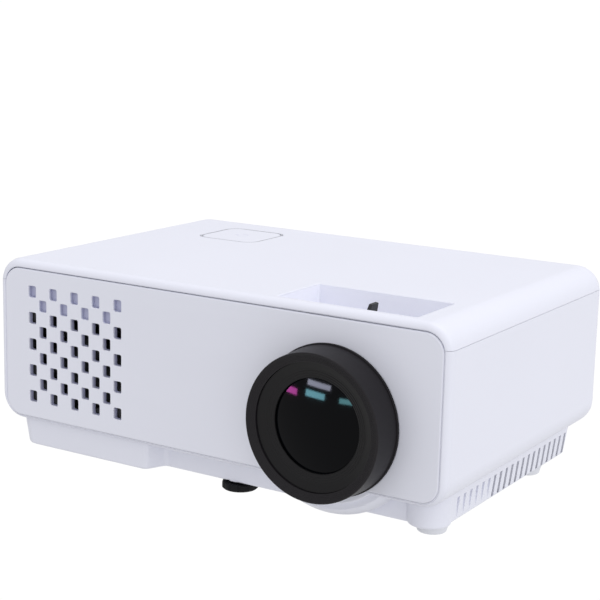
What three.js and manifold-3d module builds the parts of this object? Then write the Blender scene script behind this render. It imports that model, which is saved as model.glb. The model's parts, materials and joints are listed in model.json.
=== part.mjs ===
import * as THREE from 'three';
import { mergeVertices } from 'three/addons/utils/BufferGeometryUtils.js';
import Module from 'manifold-3d';

// Portable LED projector. Millimetres, +Z up, the lens looks along -Y.
// The origin is on the ground under the middle of the whole outline.

// Case
const caseWidth = 200;
const caseDepth = 137;
const caseHeight = 65;
const caseBottomZ = 16;
const caseCornerRadius = 10;
const frontEdgeRadius = 3;
const rearEdgeRadius = 8;
const wall = 2.2;
const frontWall = 5;
const rearWall = 5;
const topCoverDrop = 9;
const lensProud = 13.5;
const gap = 0.3;
const overrun = 1;

// Front panel and its chequered vent
const panelThickness = 2.4;
const panelSideRim = 3;
const panelTopRim = 3.6;
const panelBottomRim = 1.6;
const panelCornerRadius = 7.2;
const panelEdgeRadius = 0.7;
const panelLedge = 2.6;
const ventRows = 9;
const ventLongRow = 5;
const ventBlindRows = 2;
const ventPitchX = 10.6;
const ventInset = 13.9;
const ventDrop = 8.8;
const ventHoleWidth = 3.7;
const ventHoleHeight = 4.55;
const ventHoleCorner = 0.6;
const ventBlindDepth = 1.2;

// Rear panel and its grille
const rearPanelSideInset = 14;
const rearPanelLift = 9;
const rearPanelDrop = 13;
const rearPanelRadius = 4;
const rearPanelThickness = 2.4;
const rearPanelLedge = 2.6;
const grilleInset = 3.1;
const grilleSlot = 2.4;
const grillePitch = 4.4;
const grilleRibWidth = 2.2;

// Pedestal base
const baseBottomZ = 4.6;
const baseSideInset = 11;
const baseTaper = 1.4;
const baseFrontInset = 3.2;
const baseStepDepth = 8.4;
const baseStepLeftInset = 71;
const baseStepSlant = 3.5;
const baseRearInset = 10;
const baseCornerRadius = 6;
const baseStepRadius = 2.5;
const baseEdgeRadius = 1.2;
const cornerPostRadius = 8.6;
const cornerPostProud = 0.9;
const slotPitch = 5.3;
const slotWidth = 1.9;
const slotHeight = 8.6;
const slotLift = 0.8;
const slotGrooveDepth = 1;
const slotRearInset = 2.3;
const slotFrontInset = 12;
const slotBlindCount = 5;

// Chin under the lens
const chinSetback = 1.5;
const chinInnerRadius = 31.6;
const chinMiddleRadius = 34.4;
const chinOuterRadius = 36.8;
const chinStep = 1.7;
const chinFlare = 4;
const chinEdgeRadius = 0.8;

// Finger recess in the top cover
const recessLeftReach = 25.6;
const recessWidth = 56;
const recessFrontInset = 4;
const recessLength = 28.2;
const recessLift = 29.3;
const recessRadius = 1;
const recessWall = 1.6;

// Power key
const keySize = 27.1;
const keyCornerRadius = 5;
const keyLeftInset = 46;
const keyRearInset = 34.5;
const keyTravel = 0.6;
const keyPlate = 4.8;
const keyFlange = 1.1;
const keyFlangeThickness = 1.5;
const keyHollowRadius = 6;
const trimWidth = 0.6;
const trimHeight = 4.5;
const trimFlange = 1.2;
const trimFlangeThickness = 1.4;
const keyBoardClearance = 0.75;
const keyBoardDepth = 14;
const boardThickness = 1.6;
const switchSize = 6;
const switchHeight = 3.5;
const plungerRadius = 1.6;
const plungerHeight = 0.5;
const keyPostRadius = 1.8;

// Round feet
const footTopRadius = 6.6;
const footBottomRadius = 5.4;
const footEdgeRadius = 0.8;
const footSideInset = 16;
const footFrontInset = 22.45;
const footRearInset = 33.25;
const footStudRadius = 2.2;
const footStudHeight = 3.6;

// Screw foot
const knobX = 4.3;
const knobFrontInset = 18.2;
const knobRadius = 6.9;
const knobRimHeight = 3;
const knobDome = 0.5;
const knobTopRelief = 0.5;
const knobEdgeRadius = 0.6;
const knobFlutes = 12;
const knobFluteRadius = 0.7;
const padRadius = 3.6;
const padHeight = 0.6;
const stemRadius = 2.5;
const stemLength = 22;
const nutRadius = 3.8;
const nutFlangeRadius = 4.6;
const nutFlangeThickness = 1;
const nutHeight = 8;
const footBossRadius = 5.2;
const footBossHeight = 13;

// Tripod nut
const tripodX = 0;
const tripodFrontInset = 33.75;
const tripodBoreRadius = 3.2;
const tripodNutRadius = 6;
const tripodNutHeight = 7.5;
const tripodBossWall = 2;

// Case screws
const screwSideInset = 20;
const screwFrontInset = 37.75;
const screwRearInset = 47.25;
const screwShankRadius = 1.5;
const screwHeadRadius = 2.8;
const screwHeadHeight = 1.8;
const screwHeadSink = 0.7;
const screwLength = 46;
const screwBossRadius = 4.6;
const screwBossHeight = 29;
const screwPostRadius = 3.6;
const screwPilotDepth = 26;

// Lens: distances forward of the panel's face are called out
const lensRightInset = 46;
const lensHeightShare = 0.38;
const sleeveRadius = 20;
const sleeveBore = 18.1;
const sleeveOut = 3.9;
const sleeveLipRadius = 20.9;
const sleeveLipLength = 0.8;
const sleeveFlangeHalfWidth = 27;
const sleeveFlangeDrop = 8.1;
const sleeveFlangeLift = 1.1;
const sleeveFlangeThickness = 2;
const ringFrontRadius = 26.65;
const ringRearRadius = 27.1;
const ringFlangeRadius = 27.6;
const ringFlangeThickness = 1;
const ringLipRadius = 26.1;
const ringLipDepth = 1.3;
const ringBore = 23.2;
const ringHubLength = 2.3;
const ringEdgeRadius = 0.6;
const cupRadius = 22.9;
const cupBore = 21.7;
const cupFrontOut = 9.6;
const cupRearOut = 6.4;
const cupSeatOut = 7.2;
const barrelRadius = 17.8;
const barrelBore = 16.3;
const barrelStepRadius = 14.8;
const barrelRearIn = 34;
const glassRadius = 21.4;
const glassAperture = 19.7;
const glassEdge = 1.1;
const glassDome = 2.6;
const glassHollow = 1.2;
const glassHollowRadius = 17;
const retainerBore = 20;
const retainerFront = 1.3;
const retainerSteps = 3;
const midGlassIn = 8;
const midGlassEdge = 3.4;
const midGlassDome = 2.2;
const rearGlassIn = 27;
const rearGlassEdge = 3.4;
const rearGlassDome = 1.6;
const innerGlassRadius = 16;
const spacerBore = 14.6;

// Keystone lever
const leverBore = 20.3;
const leverRingRadius = 23.5;
const leverFrontInset = 16.75;
const leverLength = 7;
const leverFinThickness = 1.4;
const leverFinDrop = 0.4;
const leverFinSlope = 2.4;
const leverAngle = THREE.MathUtils.degToRad(8.5);
const leverSwingLeft = THREE.MathUtils.degToRad(16);
const leverSwingRight = THREE.MathUtils.degToRad(6);
const leverClearance = 0.8;
const crankRadius = 26;
const crankPinRadius = 1.5;
const crankPinLength = 5;
const crankLugHalfHeight = 2.4;

// Optics housing and light path
const opticsLeftInset = 42;
const opticsRightReach = 20.6;
const opticsFrontShare = 0.334;
const opticsRearShare = 0.1843;
const opticsLift = 4.6;
const opticsDrop = 16.4;
const opticsWall = 1.8;
const opticsLegRadius = 3;
const opticsLegInset = 8;
const lidThickness = 1.6;
const condenserInset = 10;
const condenserHeightShare = 0.837;
const condenserWidthShare = 0.606;
const condenserEdge = 2;
const condenserDome = 6;
const fresnelRearShare = 0.3214;
const fresnelFrontShare = 0.5982;
const fresnelThickness = 1.6;
const windowWidthShare = 0.788;
const windowHeightShare = 0.753;
const plateMargin = 3;
const gateShare = 0.4732;
const gateHeightShare = 0.92;
const gateThickness = 4;
const gateShaftRadius = 3;
const gateArmThickness = 3;
const gateArmHalfHeight = 4.4;
const gateForkClearance = 0.6;
const gateForkLip = 3.2;
const lcdWidthShare = 0.848;
const lcdHeightShare = 0.774;
const lcdThickness = 1.6;
const mirrorHeightShare = 0.837;
const mirrorThickness = 2;
const mirrorRib = 3;
const ledBoardWidthShare = 0.545;
const ledBoardHeightShare = 0.753;
const ledChipSize = 12;
const ledChipHeight = 1.4;
const sinkThickness = 14;
const sinkBase = 4;
const sinkWidthShare = 0.667;
const sinkHeightShare = 0.879;
const sinkFins = 9;
const sinkFinThickness = 1.4;

// Fans
const fanHeightMargin = 15;
const fanThickness = 14;
const fanRim = 1.4;
const fanCorner = 3;
const fanSpokes = 3;
const fanSpokeWidth = 2.6;
const fanSpokeDepth = 1.8;
const rotorClearance = 0.8;
const rotorHubRadius = 9;
const rotorDepth = 10.4;
const rotorBlades = 7;
const bladeThickness = 1;
const bladeRootPitch = THREE.MathUtils.degToRad(42);
const bladeTipPitch = THREE.MathUtils.degToRad(24);
const shaftRadius = 1.6;
const fanLeftInset = 38;
const intakeDrop = 1;
const exhaustDrop = 2;
const fanSeatThickness = 3;

// Boards, ports and speaker
const mainBoardFanGap = 5;
const mainBoardRightInset = 12;
const mainBoardLift = 4;
const mainBoardDrop = 15;
const mainBoardRearInset = 17.25;
const boardSeatWidth = 5;
const portRowLift = 11.5;
const portUpperShare = 0.604;
const portShell = 0.8;
const portDepth = 13.8;
const hdmiRightInset = 94;
const hdmiWidth = 15;
const hdmiHeight = 5.6;
const hdmiTongue = 1.2;
const vgaRightInset = 66;
const vgaWidth = 18;
const vgaHeight = 9.4;
const vgaSlant = 1.4;
const usbRightInset = 38;
const usbWidth = 14.4;
const usbHeight = 7;
const usbTongue = 1.8;
const cardRightInset = 64;
const cardWidth = 26;
const cardHeight = 3.8;
const jackRightInset = 88;
const jackRadius = 4;
const jackBore = 1.8;
const inletRightInset = 30;
const inletWidth = 24;
const inletHeight = 14;
const inletSocketWidth = 15;
const inletSocketHeight = 8.4;
const inletSocketDepth = 10;
const inletPinRadius = 1.2;
const inletPinPitch = 7.4;
const infraredFanReach = 48;
const infraredRadius = 2.6;
const infraredLength = 4;
const powerBoardLeftInset = 52;
const powerBoardWidth = 52;
const powerBoardFrontInset = 19.75;
const powerBoardRearGap = 2;
const powerBoardLift = 2;
const powerPostRadius = 2;
const capacitorRadius = 7;
const capacitorHeight = 20;
const transformerWidth = 17;
const transformerHeight = 15;
const speakerRightInset = 15;
const speakerFrontInset = 19.75;
const speakerWidth = 12;
const speakerDepth = 22;
const speakerHeight = 34;
const speakerConeRadius = 9;
const speakerConeDepth = 3;

// Roundness of curved surfaces, in steps
const cornerSteps = 6;
const edgeSteps = 3;
const smallSteps = 2;
const chinTurn = 48;
const largeTurn = 36;
const mediumTurn = 24;
const smallTurn = 16;
const tinyTurn = 8;

// Places worked out from the sizes above: the case
const rightX = caseWidth / 2;
const leftX = -rightX;
const frontY = (lensProud - caseDepth) / 2;
const rearY = frontY + caseDepth;
const caseTopZ = caseBottomZ + caseHeight;
const caseMiddleZ = caseBottomZ + caseHeight / 2;
const seamZ = caseTopZ - topCoverDrop;
const innerTopZ = caseTopZ - wall;
const floorZ = baseBottomZ + wall;
const pocketY = frontY + panelThickness + gap;
const innerFrontY = frontY + frontWall;
const innerRearY = rearY - rearWall;
const rearPocketY = rearY - rearPanelThickness - gap;
const rearPanelWidth = caseWidth - 2 * rearPanelSideInset;
const rearPanelHeight = caseHeight - rearPanelLift - rearPanelDrop;
const baseTopHalfWidth = rightX - baseSideInset;
const baseStepX = leftX + baseStepLeftInset;

// Places of the outer pieces
const lensX = rightX - lensRightInset;
const lensZ = caseBottomZ + caseHeight * lensHeightShare;
const leverY = frontY + leverFrontInset;
const recessLeftX = lensX - recessLeftReach;
const keyX = leftX + keyLeftInset;
const keyY = rearY - keyRearInset;
const footX = rightX - footSideInset;
const footFrontY = frontY + footFrontInset;
const footRearY = rearY - footRearInset;
const knobY = frontY + knobFrontInset;
const tripodY = frontY + tripodFrontInset;
const screwX = rightX - screwSideInset;
const screwFrontY = frontY + screwFrontInset;
const screwRearY = rearY - screwRearInset;

// Places of the optics: the light path runs from the lamp at the left to the mirror behind the lens
const opticsLeftX = leftX + opticsLeftInset;
const opticsRightX = lensX + opticsRightReach;
const opticsFrontY = frontY + caseDepth * opticsFrontShare;
const opticsRearY = rearY - caseDepth * opticsRearShare;
const opticsBottomZ = floorZ + opticsLift;
const opticsTopZ = caseTopZ - opticsDrop;
const opticsY = (opticsFrontY + opticsRearY) / 2;
const opticsHalfDepth = (opticsRearY - opticsFrontY) / 2;
const opticsReach = Math.min(opticsTopZ - lensZ, lensZ - opticsBottomZ - opticsWall);
const alongPath = (share) => THREE.MathUtils.lerp(opticsLeftX, lensX, share);
const condenserX = opticsLeftX + condenserInset;
const condenserRadius = Math.min(opticsReach * condenserHeightShare, opticsHalfDepth * condenserWidthShare);
const fresnelRearX = alongPath(fresnelRearShare);
const gateX = alongPath(gateShare);
const fresnelFrontX = alongPath(fresnelFrontShare);
const windowHalfWidth = opticsHalfDepth * windowWidthShare;
const windowHalfHeight = opticsReach * windowHeightShare;
const gateHalfHeight = opticsReach * gateHeightShare;
const lcdHalfWidth = opticsHalfDepth * lcdWidthShare;
const lcdHalfHeight = opticsReach * lcdHeightShare;
const mirrorHalfWidth = (opticsRightReach - opticsWall) * Math.SQRT2 - mirrorRib - 2 * gap;
const mirrorHalfHeight = opticsReach * mirrorHeightShare;
const ledBoardHalfWidth = opticsHalfDepth * ledBoardWidthShare;
const ledBoardHalfHeight = opticsReach * ledBoardHeightShare;
const sinkHalfWidth = opticsHalfDepth * sinkWidthShare;
const sinkHalfHeight = opticsReach * sinkHeightShare;

// Places of the fans, boards, ports and speaker
const fanSize = caseHeight - fanHeightMargin;
const fanBore = fanSize / 2 - fanRim;
const rotorRadius = fanBore - rotorClearance;
const grilleRadius = fanBore - grilleInset;
const intakeX = leftX + fanLeftInset;
const intakeZ = caseMiddleZ - intakeDrop;
const exhaustX = leftX + fanLeftInset;
const exhaustZ = caseMiddleZ - exhaustDrop;
const mainBoardLeftX = exhaustX + fanSize / 2 + mainBoardFanGap;
const mainBoardRightX = rightX - mainBoardRightInset;
const mainBoardBottomZ = caseBottomZ + mainBoardLift;
const mainBoardTopZ = caseTopZ - mainBoardDrop;
const mainBoardY = rearY - mainBoardRearInset;
const portRowZ = caseBottomZ + rearPanelLift + portRowLift;
const portUpperLowZ = portRowZ + (inletHeight + usbHeight) / 2;
const portUpperHighZ = caseTopZ - rearPanelDrop - rearPanelLedge - usbHeight / 2;
const portUpperZ = portUpperLowZ + (portUpperHighZ - portUpperLowZ) * portUpperShare;
const hdmiX = rightX - hdmiRightInset;
const vgaX = rightX - vgaRightInset;
const usbX = rightX - usbRightInset;
const cardX = rightX - cardRightInset;
const jackX = rightX - jackRightInset;
const inletX = rightX - inletRightInset;
const infraredX = exhaustX + infraredFanReach;
const powerBoardX = leftX + powerBoardLeftInset;
const powerBoardFrontY = frontY + powerBoardFrontInset;
const powerBoardZ = caseBottomZ + powerBoardLift;
const powerBoardDepth = opticsFrontY - powerBoardFrontY - powerBoardRearGap;
const speakerX = rightX - speakerRightInset;
const speakerY = frontY + speakerFrontInset;

const wasm = await Module();
wasm.setup();

// Solids
function dropFlatTriangles(index) {
  const kept = [];
  for (let i = 0; i < index.length; i += 3) {
    const [a, b, c] = [index[i], index[i + 1], index[i + 2]];
    if (a !== b && b !== c && c !== a) kept.push(a, b, c);
  }
  return Uint32Array.from(kept);
}

function toSolid(geometry) {
  geometry.deleteAttribute('normal');
  geometry.deleteAttribute('uv');
  const merged = mergeVertices(geometry);
  const vertProperties = merged.attributes.position.array;
  const triVerts = dropFlatTriangles(merged.index.array);
  return new wasm.Manifold(new wasm.Mesh({ numProp: 3, vertProperties, triVerts }));
}

function toGeometry(solid) {
  const mesh = solid.getMesh();
  const geometry = new THREE.BufferGeometry();
  geometry.setAttribute('position', new THREE.BufferAttribute(mesh.vertProperties, 3));
  geometry.setIndex(new THREE.BufferAttribute(mesh.triVerts, 1));
  geometry.computeVertexNormals();
  return geometry;
}

const join = (first, ...others) => others.reduce((whole, other) => whole.add(other), first);
const cut = (first, ...others) => others.reduce((whole, other) => whole.subtract(other), first);

function block(x0, x1, y0, y1, z0, z1) {
  const geometry = new THREE.BoxGeometry(x1 - x0, y1 - y0, z1 - z0);
  geometry.translate((x0 + x1) / 2, (y0 + y1) / 2, (z0 + z1) / 2);
  return toSolid(geometry);
}

function blockAt(x, y, z, width, depth, height) {
  return block(x - width / 2, x + width / 2, y - depth / 2, y + depth / 2, z - height / 2, z + height / 2);
}

// A round form about the Y axis from [radius, y] points, moved to x and z
function turnedY(points, x, z, turn) {
  let area = 0;
  for (let i = 0; i < points.length; i += 1) {
    const [r0, y0] = points[i];
    const [r1, y1] = points[(i + 1) % points.length];
    area += r0 * y1 - r1 * y0;
  }
  const ordered = area > 0 ? points : [...points].reverse();
  const profile = ordered.map(([radius, y]) => new THREE.Vector2(radius, y));
  if (profile.some((point) => point.x === 0)) {
    while (profile[0].x !== 0 || profile[profile.length - 1].x !== 0) profile.push(profile.shift());
  } else {
    profile.push(profile[0].clone());
  }
  const geometry = new THREE.LatheGeometry(profile, turn);
  geometry.translate(x, 0, z);
  return toSolid(geometry);
}

// A round form about the Z axis from [radius, z] points, moved to x and y
function turnedZ(points, x, y, turn) {
  return turnedY(points, 0, 0, turn).rotate([90, 0, 0]).translate([x, y, 0]);
}

const rodY = (x, z, y0, y1, radius, turn) => turnedY([[0, y0], [radius, y0], [radius, y1], [0, y1]], x,
  z, turn);
const rodZ = (x, y, z0, z1, radius, turn) => turnedZ([[0, z0], [radius, z0], [radius, z1], [0, z1]], x,
  y, turn);

const lensTurned = (points, turn) => turnedY(points, lensX, lensZ, turn);

function roundedShape(width, height, radius, x = 0, y = 0) {
  const shape = new THREE.Shape();
  const [right, top] = [width / 2 - radius, height / 2 - radius];
  shape.absarc(x + right, y + top, radius, 0, Math.PI / 2);
  shape.absarc(x - right, y + top, radius, Math.PI / 2, Math.PI);
  shape.absarc(x - right, y - top, radius, Math.PI, Math.PI * 1.5);
  shape.absarc(x + right, y - top, radius, Math.PI * 1.5, Math.PI * 2);
  shape.closePath();
  return shape;
}

// A rectangle whose corners are cut off at a slant
function chamferedShape(width, height, corner, x, y) {
  const [right, top] = [width / 2, height / 2];
  return new THREE.Shape([
    [right, corner - top], [right, top - corner], [right - corner, top], [corner - right, top],
    [-right, top - corner], [-right, corner - top], [corner - right, -top], [right - corner, -top],
  ].map(([across, up]) => new THREE.Vector2(x + across, y + up)));
}

// A shape drawn in x and z, extruded from y0 to y1
function plateY(shape, y0, y1, steps = smallSteps) {
  const geometry = new THREE.ExtrudeGeometry(shape, { depth: y1 - y0, bevelEnabled: false,
    curveSegments: steps });
  geometry.rotateX(Math.PI / 2);
  geometry.translate(0, y1, 0);
  return toSolid(geometry);
}

// A shape drawn in x and y, extruded from z0 to z1
function plateZ(shape, z0, z1, steps = smallSteps) {
  const geometry = new THREE.ExtrudeGeometry(shape, { depth: z1 - z0, bevelEnabled: false,
    curveSegments: steps });
  geometry.translate(0, 0, z0);
  return toSolid(geometry);
}

// The axis that a flat ring faces, which is where its points differ least
function facingAxis(ring) {
  const size = new THREE.Box3().setFromPoints(ring).getSize(new THREE.Vector3()).toArray();
  return size.indexOf(Math.min(...size));
}

// A form through rings of equal count, closed by a face at each end
function loft(drawnRings) {
  const [across, up] = [['y', 'z'], ['x', 'z'], ['x', 'y']][facingAxis(drawnRings[0])];
  const outlineOf = (ring) => ring.map((p) => new THREE.Vector2(p[across], p[up]));
  const clockwise = THREE.ShapeUtils.area(outlineOf(drawnRings[0])) < 0;
  const rings = clockwise ? drawnRings.map((ring) => [...ring].reverse()) : drawnRings;
  const outline = outlineOf(rings[0]);
  const count = outline.length;
  const points = rings.flat();
  const index = [];
  for (let r = 0; r + 1 < rings.length; r += 1) {
    for (let i = 0; i < count; i += 1) {
      const [a, b] = [r * count + i, r * count + ((i + 1) % count)];
      index.push(a, b, b + count, a, b + count, a + count);
    }
  }
  const last = points.length - count;
  for (const [a, b, c] of THREE.ShapeUtils.triangulateShape(outline, [])) {
    index.push(a, c, b, last + a, last + b, last + c);
  }
  const geometry = new THREE.BufferGeometry();
  geometry.setAttribute('position', new THREE.Float32BufferAttribute(points.flatMap((p) => [p.x, p.y,
    p.z]), 3));
  let volume = 0;
  for (let i = 0; i < index.length; i += 3) {
    const [a, b, c] = [points[index[i]], points[index[i + 1]], points[index[i + 2]]];
    volume += a.dot(b.clone().cross(c));
  }
  if (volume < 0) index.reverse();
  geometry.setIndex(index);
  return toSolid(geometry);
}

// The case form: a rounded section along Y with rounded front and rear edges
function sectionRing(width, height, radius, middleZ, y) {
  const ring = [];
  const corners = [[1, 1, 0], [-1, 1, 1], [-1, -1, 2], [1, -1, 3]];
  for (const [sx, sz, quarter] of corners) {
    for (let i = 0; i <= cornerSteps; i += 1) {
      const angle = (quarter + i / cornerSteps) * Math.PI / 2;
      const x = sx * (width / 2 - radius) + radius * Math.cos(angle);
      const z = middleZ + sz * (height / 2 - radius) + radius * Math.sin(angle);
      ring.push(new THREE.Vector3(x, y, z));
    }
  }
  return ring;
}

function edgedForm(width, height, radius, middleZ, y0, y1, frontRadius, rearRadius) {
  const rings = [];
  const addRing = (inset, y) => {
    rings.push(sectionRing(width - 2 * inset, height - 2 * inset, radius - inset, middleZ, y));
  };
  for (let i = 0; i <= edgeSteps; i += 1) {
    const angle = (i / edgeSteps) * Math.PI / 2;
    addRing(frontRadius * (1 - Math.sin(angle)), y0 + frontRadius * (1 - Math.cos(angle)));
  }
  if (rearRadius === 0) addRing(0, y1);
  for (let i = edgeSteps; i >= 0 && rearRadius > 0; i -= 1) {
    const angle = (i / edgeSteps) * Math.PI / 2;
    addRing(rearRadius * (1 - Math.sin(angle)), y1 - rearRadius * (1 - Math.cos(angle)));
  }
  return loft(rings);
}

const caseForm = () => edgedForm(
  caseWidth, caseHeight, caseCornerRadius, caseMiddleZ, frontY, rearY, frontEdgeRadius, rearEdgeRadius);

const caseHollow = () => plateY(
  roundedShape(caseWidth - 2 * wall, caseHeight - 2 * wall, caseCornerRadius - wall, 0, caseMiddleZ),
  innerFrontY, innerRearY);

const above = (z) => block(-caseWidth, caseWidth, frontY - caseDepth, rearY + caseDepth, z, z + caseDepth);
const below = (z) => block(-caseWidth, caseWidth, frontY - caseDepth, rearY + caseDepth, z - caseDepth, z);

// Front panel and the pocket that it sits in
const panelWidth = caseWidth - 2 * panelSideRim;
const panelHeight = caseHeight - panelTopRim - panelBottomRim;
const panelMiddleZ = caseBottomZ + panelBottomRim + panelHeight / 2;
const ventPitchZ = (panelHeight - 2 * ventDrop) / (ventRows - 1);
const panelLeftX = -panelWidth / 2;
const panelTopZ = panelMiddleZ + panelHeight / 2;

function frontPocket() {
  const pocket = roundedShape(panelWidth + 2 * gap, panelHeight + 2 * gap, panelCornerRadius + gap, 0,
    panelMiddleZ);
  const opening = roundedShape(
    panelWidth - 2 * panelLedge, panelHeight - 2 * panelLedge, panelCornerRadius - panelLedge, 0,
    panelMiddleZ);
  return join(
    plateY(pocket, frontY - overrun, pocketY, cornerSteps / 2),
    plateY(opening, frontY, innerFrontY + overrun));
}

function frontPanel() {
  const panel = edgedForm(
    panelWidth, panelHeight, panelCornerRadius, panelMiddleZ,
    frontY, frontY + panelThickness, panelEdgeRadius, 0);
  const holes = [];
  for (let row = 0; row < ventRows; row += 1) {
    const shift = row % 2;
    for (let column = 0; column < ventLongRow - shift; column += 1) {
      const x = panelLeftX + ventInset + (column + shift / 2) * ventPitchX;
      const z = panelTopZ - ventDrop - row * ventPitchZ;
      const depth = row < ventBlindRows ? ventBlindDepth : panelThickness + overrun;
      const hole = chamferedShape(ventHoleWidth, ventHoleHeight, ventHoleCorner, x, z);
      holes.push(plateY(hole, frontY - overrun, frontY + depth));
    }
  }
  const lensHole = rodY(lensX, lensZ, frontY - overrun, pocketY, sleeveRadius + gap, largeTurn);
  return cut(panel, join(...holes, lensHole));
}

// Rear panel with its grille and port holes
const rearPanelMiddleZ = caseBottomZ + rearPanelLift + rearPanelHeight / 2;

function rearPocket() {
  const pocket = roundedShape(
    rearPanelWidth + 2 * gap, rearPanelHeight + 2 * gap, rearPanelRadius + gap, 0, rearPanelMiddleZ);
  const opening = roundedShape(
    rearPanelWidth - 2 * rearPanelLedge, rearPanelHeight - 2 * rearPanelLedge,
    rearPanelRadius - rearPanelLedge / 2, 0, rearPanelMiddleZ);
  return join(
    plateY(pocket, rearPocketY, rearY + overrun),
    plateY(opening, innerRearY - overrun, rearY));
}

// Each port: its place, its outer size and the room inside it
const ports = {
  hdmi: { x: hdmiX, z: portRowZ, width: hdmiWidth, height: hdmiHeight },
  vga: { x: vgaX, z: portRowZ, width: vgaWidth, height: vgaHeight },
  usb: { x: usbX, z: portUpperZ, width: usbWidth, height: usbHeight },
  card: { x: cardX, z: portUpperZ, width: cardWidth, height: cardHeight },
  inlet: { x: inletX, z: portRowZ, width: inletWidth, height: inletHeight },
};

function portHole({ x, z, width, height }) {
  return block(
    x - width / 2 - gap, x + width / 2 + gap, rearPocketY - overrun, rearY + overrun,
    z - height / 2 - gap, z + height / 2 + gap);
}

function grilleSlots() {
  const slots = [];
  const reach = Math.floor(grilleRadius / grillePitch);
  for (let i = -reach; i <= reach; i += 1) {
    const z = exhaustZ + i * grillePitch;
    const half = Math.sqrt(grilleRadius ** 2 - (i * grillePitch) ** 2);
    slots.push(block(
      exhaustX - half, exhaustX + half, rearPocketY - overrun, rearY + overrun, z - grilleSlot / 2,
      z + grilleSlot / 2));
  }
  const rib = block(
    exhaustX - grilleRibWidth / 2, exhaustX + grilleRibWidth / 2, rearPocketY - overrun, rearY + overrun,
    exhaustZ - grilleRadius, exhaustZ + grilleRadius);
  return cut(join(...slots), rib);
}

function rearPanel() {
  const shape = roundedShape(rearPanelWidth, rearPanelHeight, rearPanelRadius, 0, rearPanelMiddleZ);
  const plate = plateY(shape, rearY - rearPanelThickness, rearY);
  const holes = Object.values(ports).map(portHole);
  const jackHole = rodY(jackX, portUpperZ, rearPocketY, rearY + overrun, jackRadius + gap, smallTurn);
  const infraredHole = rodY(infraredX, portUpperZ, rearPocketY, rearY + overrun, infraredRadius + gap,
    smallTurn);
  return cut(plate, join(grilleSlots(), ...holes, jackHole, infraredHole));
}

// Pedestal base
const baseFrontY = frontY + baseFrontInset;
const baseMiddleY = baseFrontY + baseStepDepth;
const baseRearY = rearY - baseRearInset;

// A closed ring of points round a polygon whose corners are rounded by arcs
function roundedPolygon(corners) {
  const ring = [];
  corners.forEach(([x, y, radius], i) => {
    const here = new THREE.Vector2(x, y);
    const [bx, by] = corners[(i + corners.length - 1) % corners.length];
    const [nx, ny] = corners[(i + 1) % corners.length];
    const back = new THREE.Vector2(bx, by).sub(here).normalize();
    const next = new THREE.Vector2(nx, ny).sub(here).normalize();
    const halfAngle = Math.acos(THREE.MathUtils.clamp(back.dot(next), -1, 1)) / 2;
    const middle = back.clone().add(next).normalize();
    const centre = here.clone().addScaledVector(middle, radius / Math.sin(halfAngle));
    const first = here.clone().addScaledVector(back, radius / Math.tan(halfAngle)).sub(centre);
    const last = here.clone().addScaledVector(next, radius / Math.tan(halfAngle)).sub(centre);
    const turn = Math.atan2(first.cross(last), first.dot(last));
    for (let step = 0; step <= edgeSteps; step += 1) {
      const angle = turn * step / edgeSteps;
      ring.push(first.clone().rotateAround(new THREE.Vector2(), angle).add(centre));
    }
  });
  return ring;
}

function baseRing(inset, z) {
  const half = baseTopHalfWidth - inset;
  const corner = baseCornerRadius - inset / 2;
  const ring = roundedPolygon([
    [-half, baseRearY - inset, corner],
    [-half, baseFrontY + inset, corner],
    [baseStepX - inset, baseFrontY + inset, baseStepRadius],
    [baseStepX + baseStepSlant - inset, baseMiddleY + inset, baseStepRadius],
    [half, baseMiddleY + inset, corner],
    [half, baseRearY - inset, corner],
  ]);
  return ring.map((point) => new THREE.Vector3(point.x, point.y, z));
}

function baseForm() {
  const rings = [];
  for (let i = 0; i <= smallSteps + 1; i += 1) {
    const angle = (i / (smallSteps + 1)) * Math.PI / 2;
    const inset = baseTaper + baseEdgeRadius * (1 - Math.sin(angle));
    rings.push(baseRing(inset, baseBottomZ + baseEdgeRadius * (1 - Math.cos(angle))));
  }
  rings.push(baseRing(0, caseBottomZ + wall / 2));
  return loft(rings);
}

const baseHollow = () => loft([
  baseRing(baseTaper + wall, floorZ),
  baseRing(wall, caseBottomZ + wall + overrun),
]);

const postCentreX = baseTopHalfWidth + cornerPostProud - cornerPostRadius;
const postCentreY = baseMiddleY - cornerPostProud + cornerPostRadius;

function cornerPost() {
  const bottomRadius = cornerPostRadius - baseTaper / 2;
  return turnedZ([
    [0, baseBottomZ],
    [bottomRadius - baseEdgeRadius, baseBottomZ],
    [bottomRadius, baseBottomZ + baseEdgeRadius],
    [cornerPostRadius, caseBottomZ + wall / 2],
    [0, caseBottomZ + wall / 2],
  ], postCentreX, postCentreY, mediumTurn);
}

// The chin: two rounded steps round the lens axis, below the case
function chinForm() {
  const front = frontY + chinSetback;
  const points = [[0, front]];
  const addEdge = (radius, y) => {
    for (let i = 0; i <= smallSteps; i += 1) {
      const angle = (i / smallSteps) * Math.PI / 2;
      points.push([radius - chinEdgeRadius * (1 - Math.sin(angle)),
        y + chinEdgeRadius * (1 - Math.cos(angle))]);
    }
  };
  addEdge(chinInnerRadius, front);
  points.push([chinInnerRadius, front + chinStep]);
  addEdge(chinMiddleRadius, front + chinStep);
  points.push([chinOuterRadius, front + chinStep + chinFlare]);
  points.push([chinOuterRadius, baseMiddleY + wall]);
  points.push([0, baseMiddleY + wall]);
  const disc = turnedY(points, lensX, lensZ, chinTurn);
  return disc.intersect(below(caseBottomZ + wall / 2));
}

function chinHollow() {
  const front = frontY + chinSetback + chinStep + chinFlare + wall;
  return rodY(lensX, lensZ, front, baseMiddleY + wall + overrun, chinOuterRadius - wall, largeTurn)
    .intersect(below(caseBottomZ + wall + overrun));
}

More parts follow.
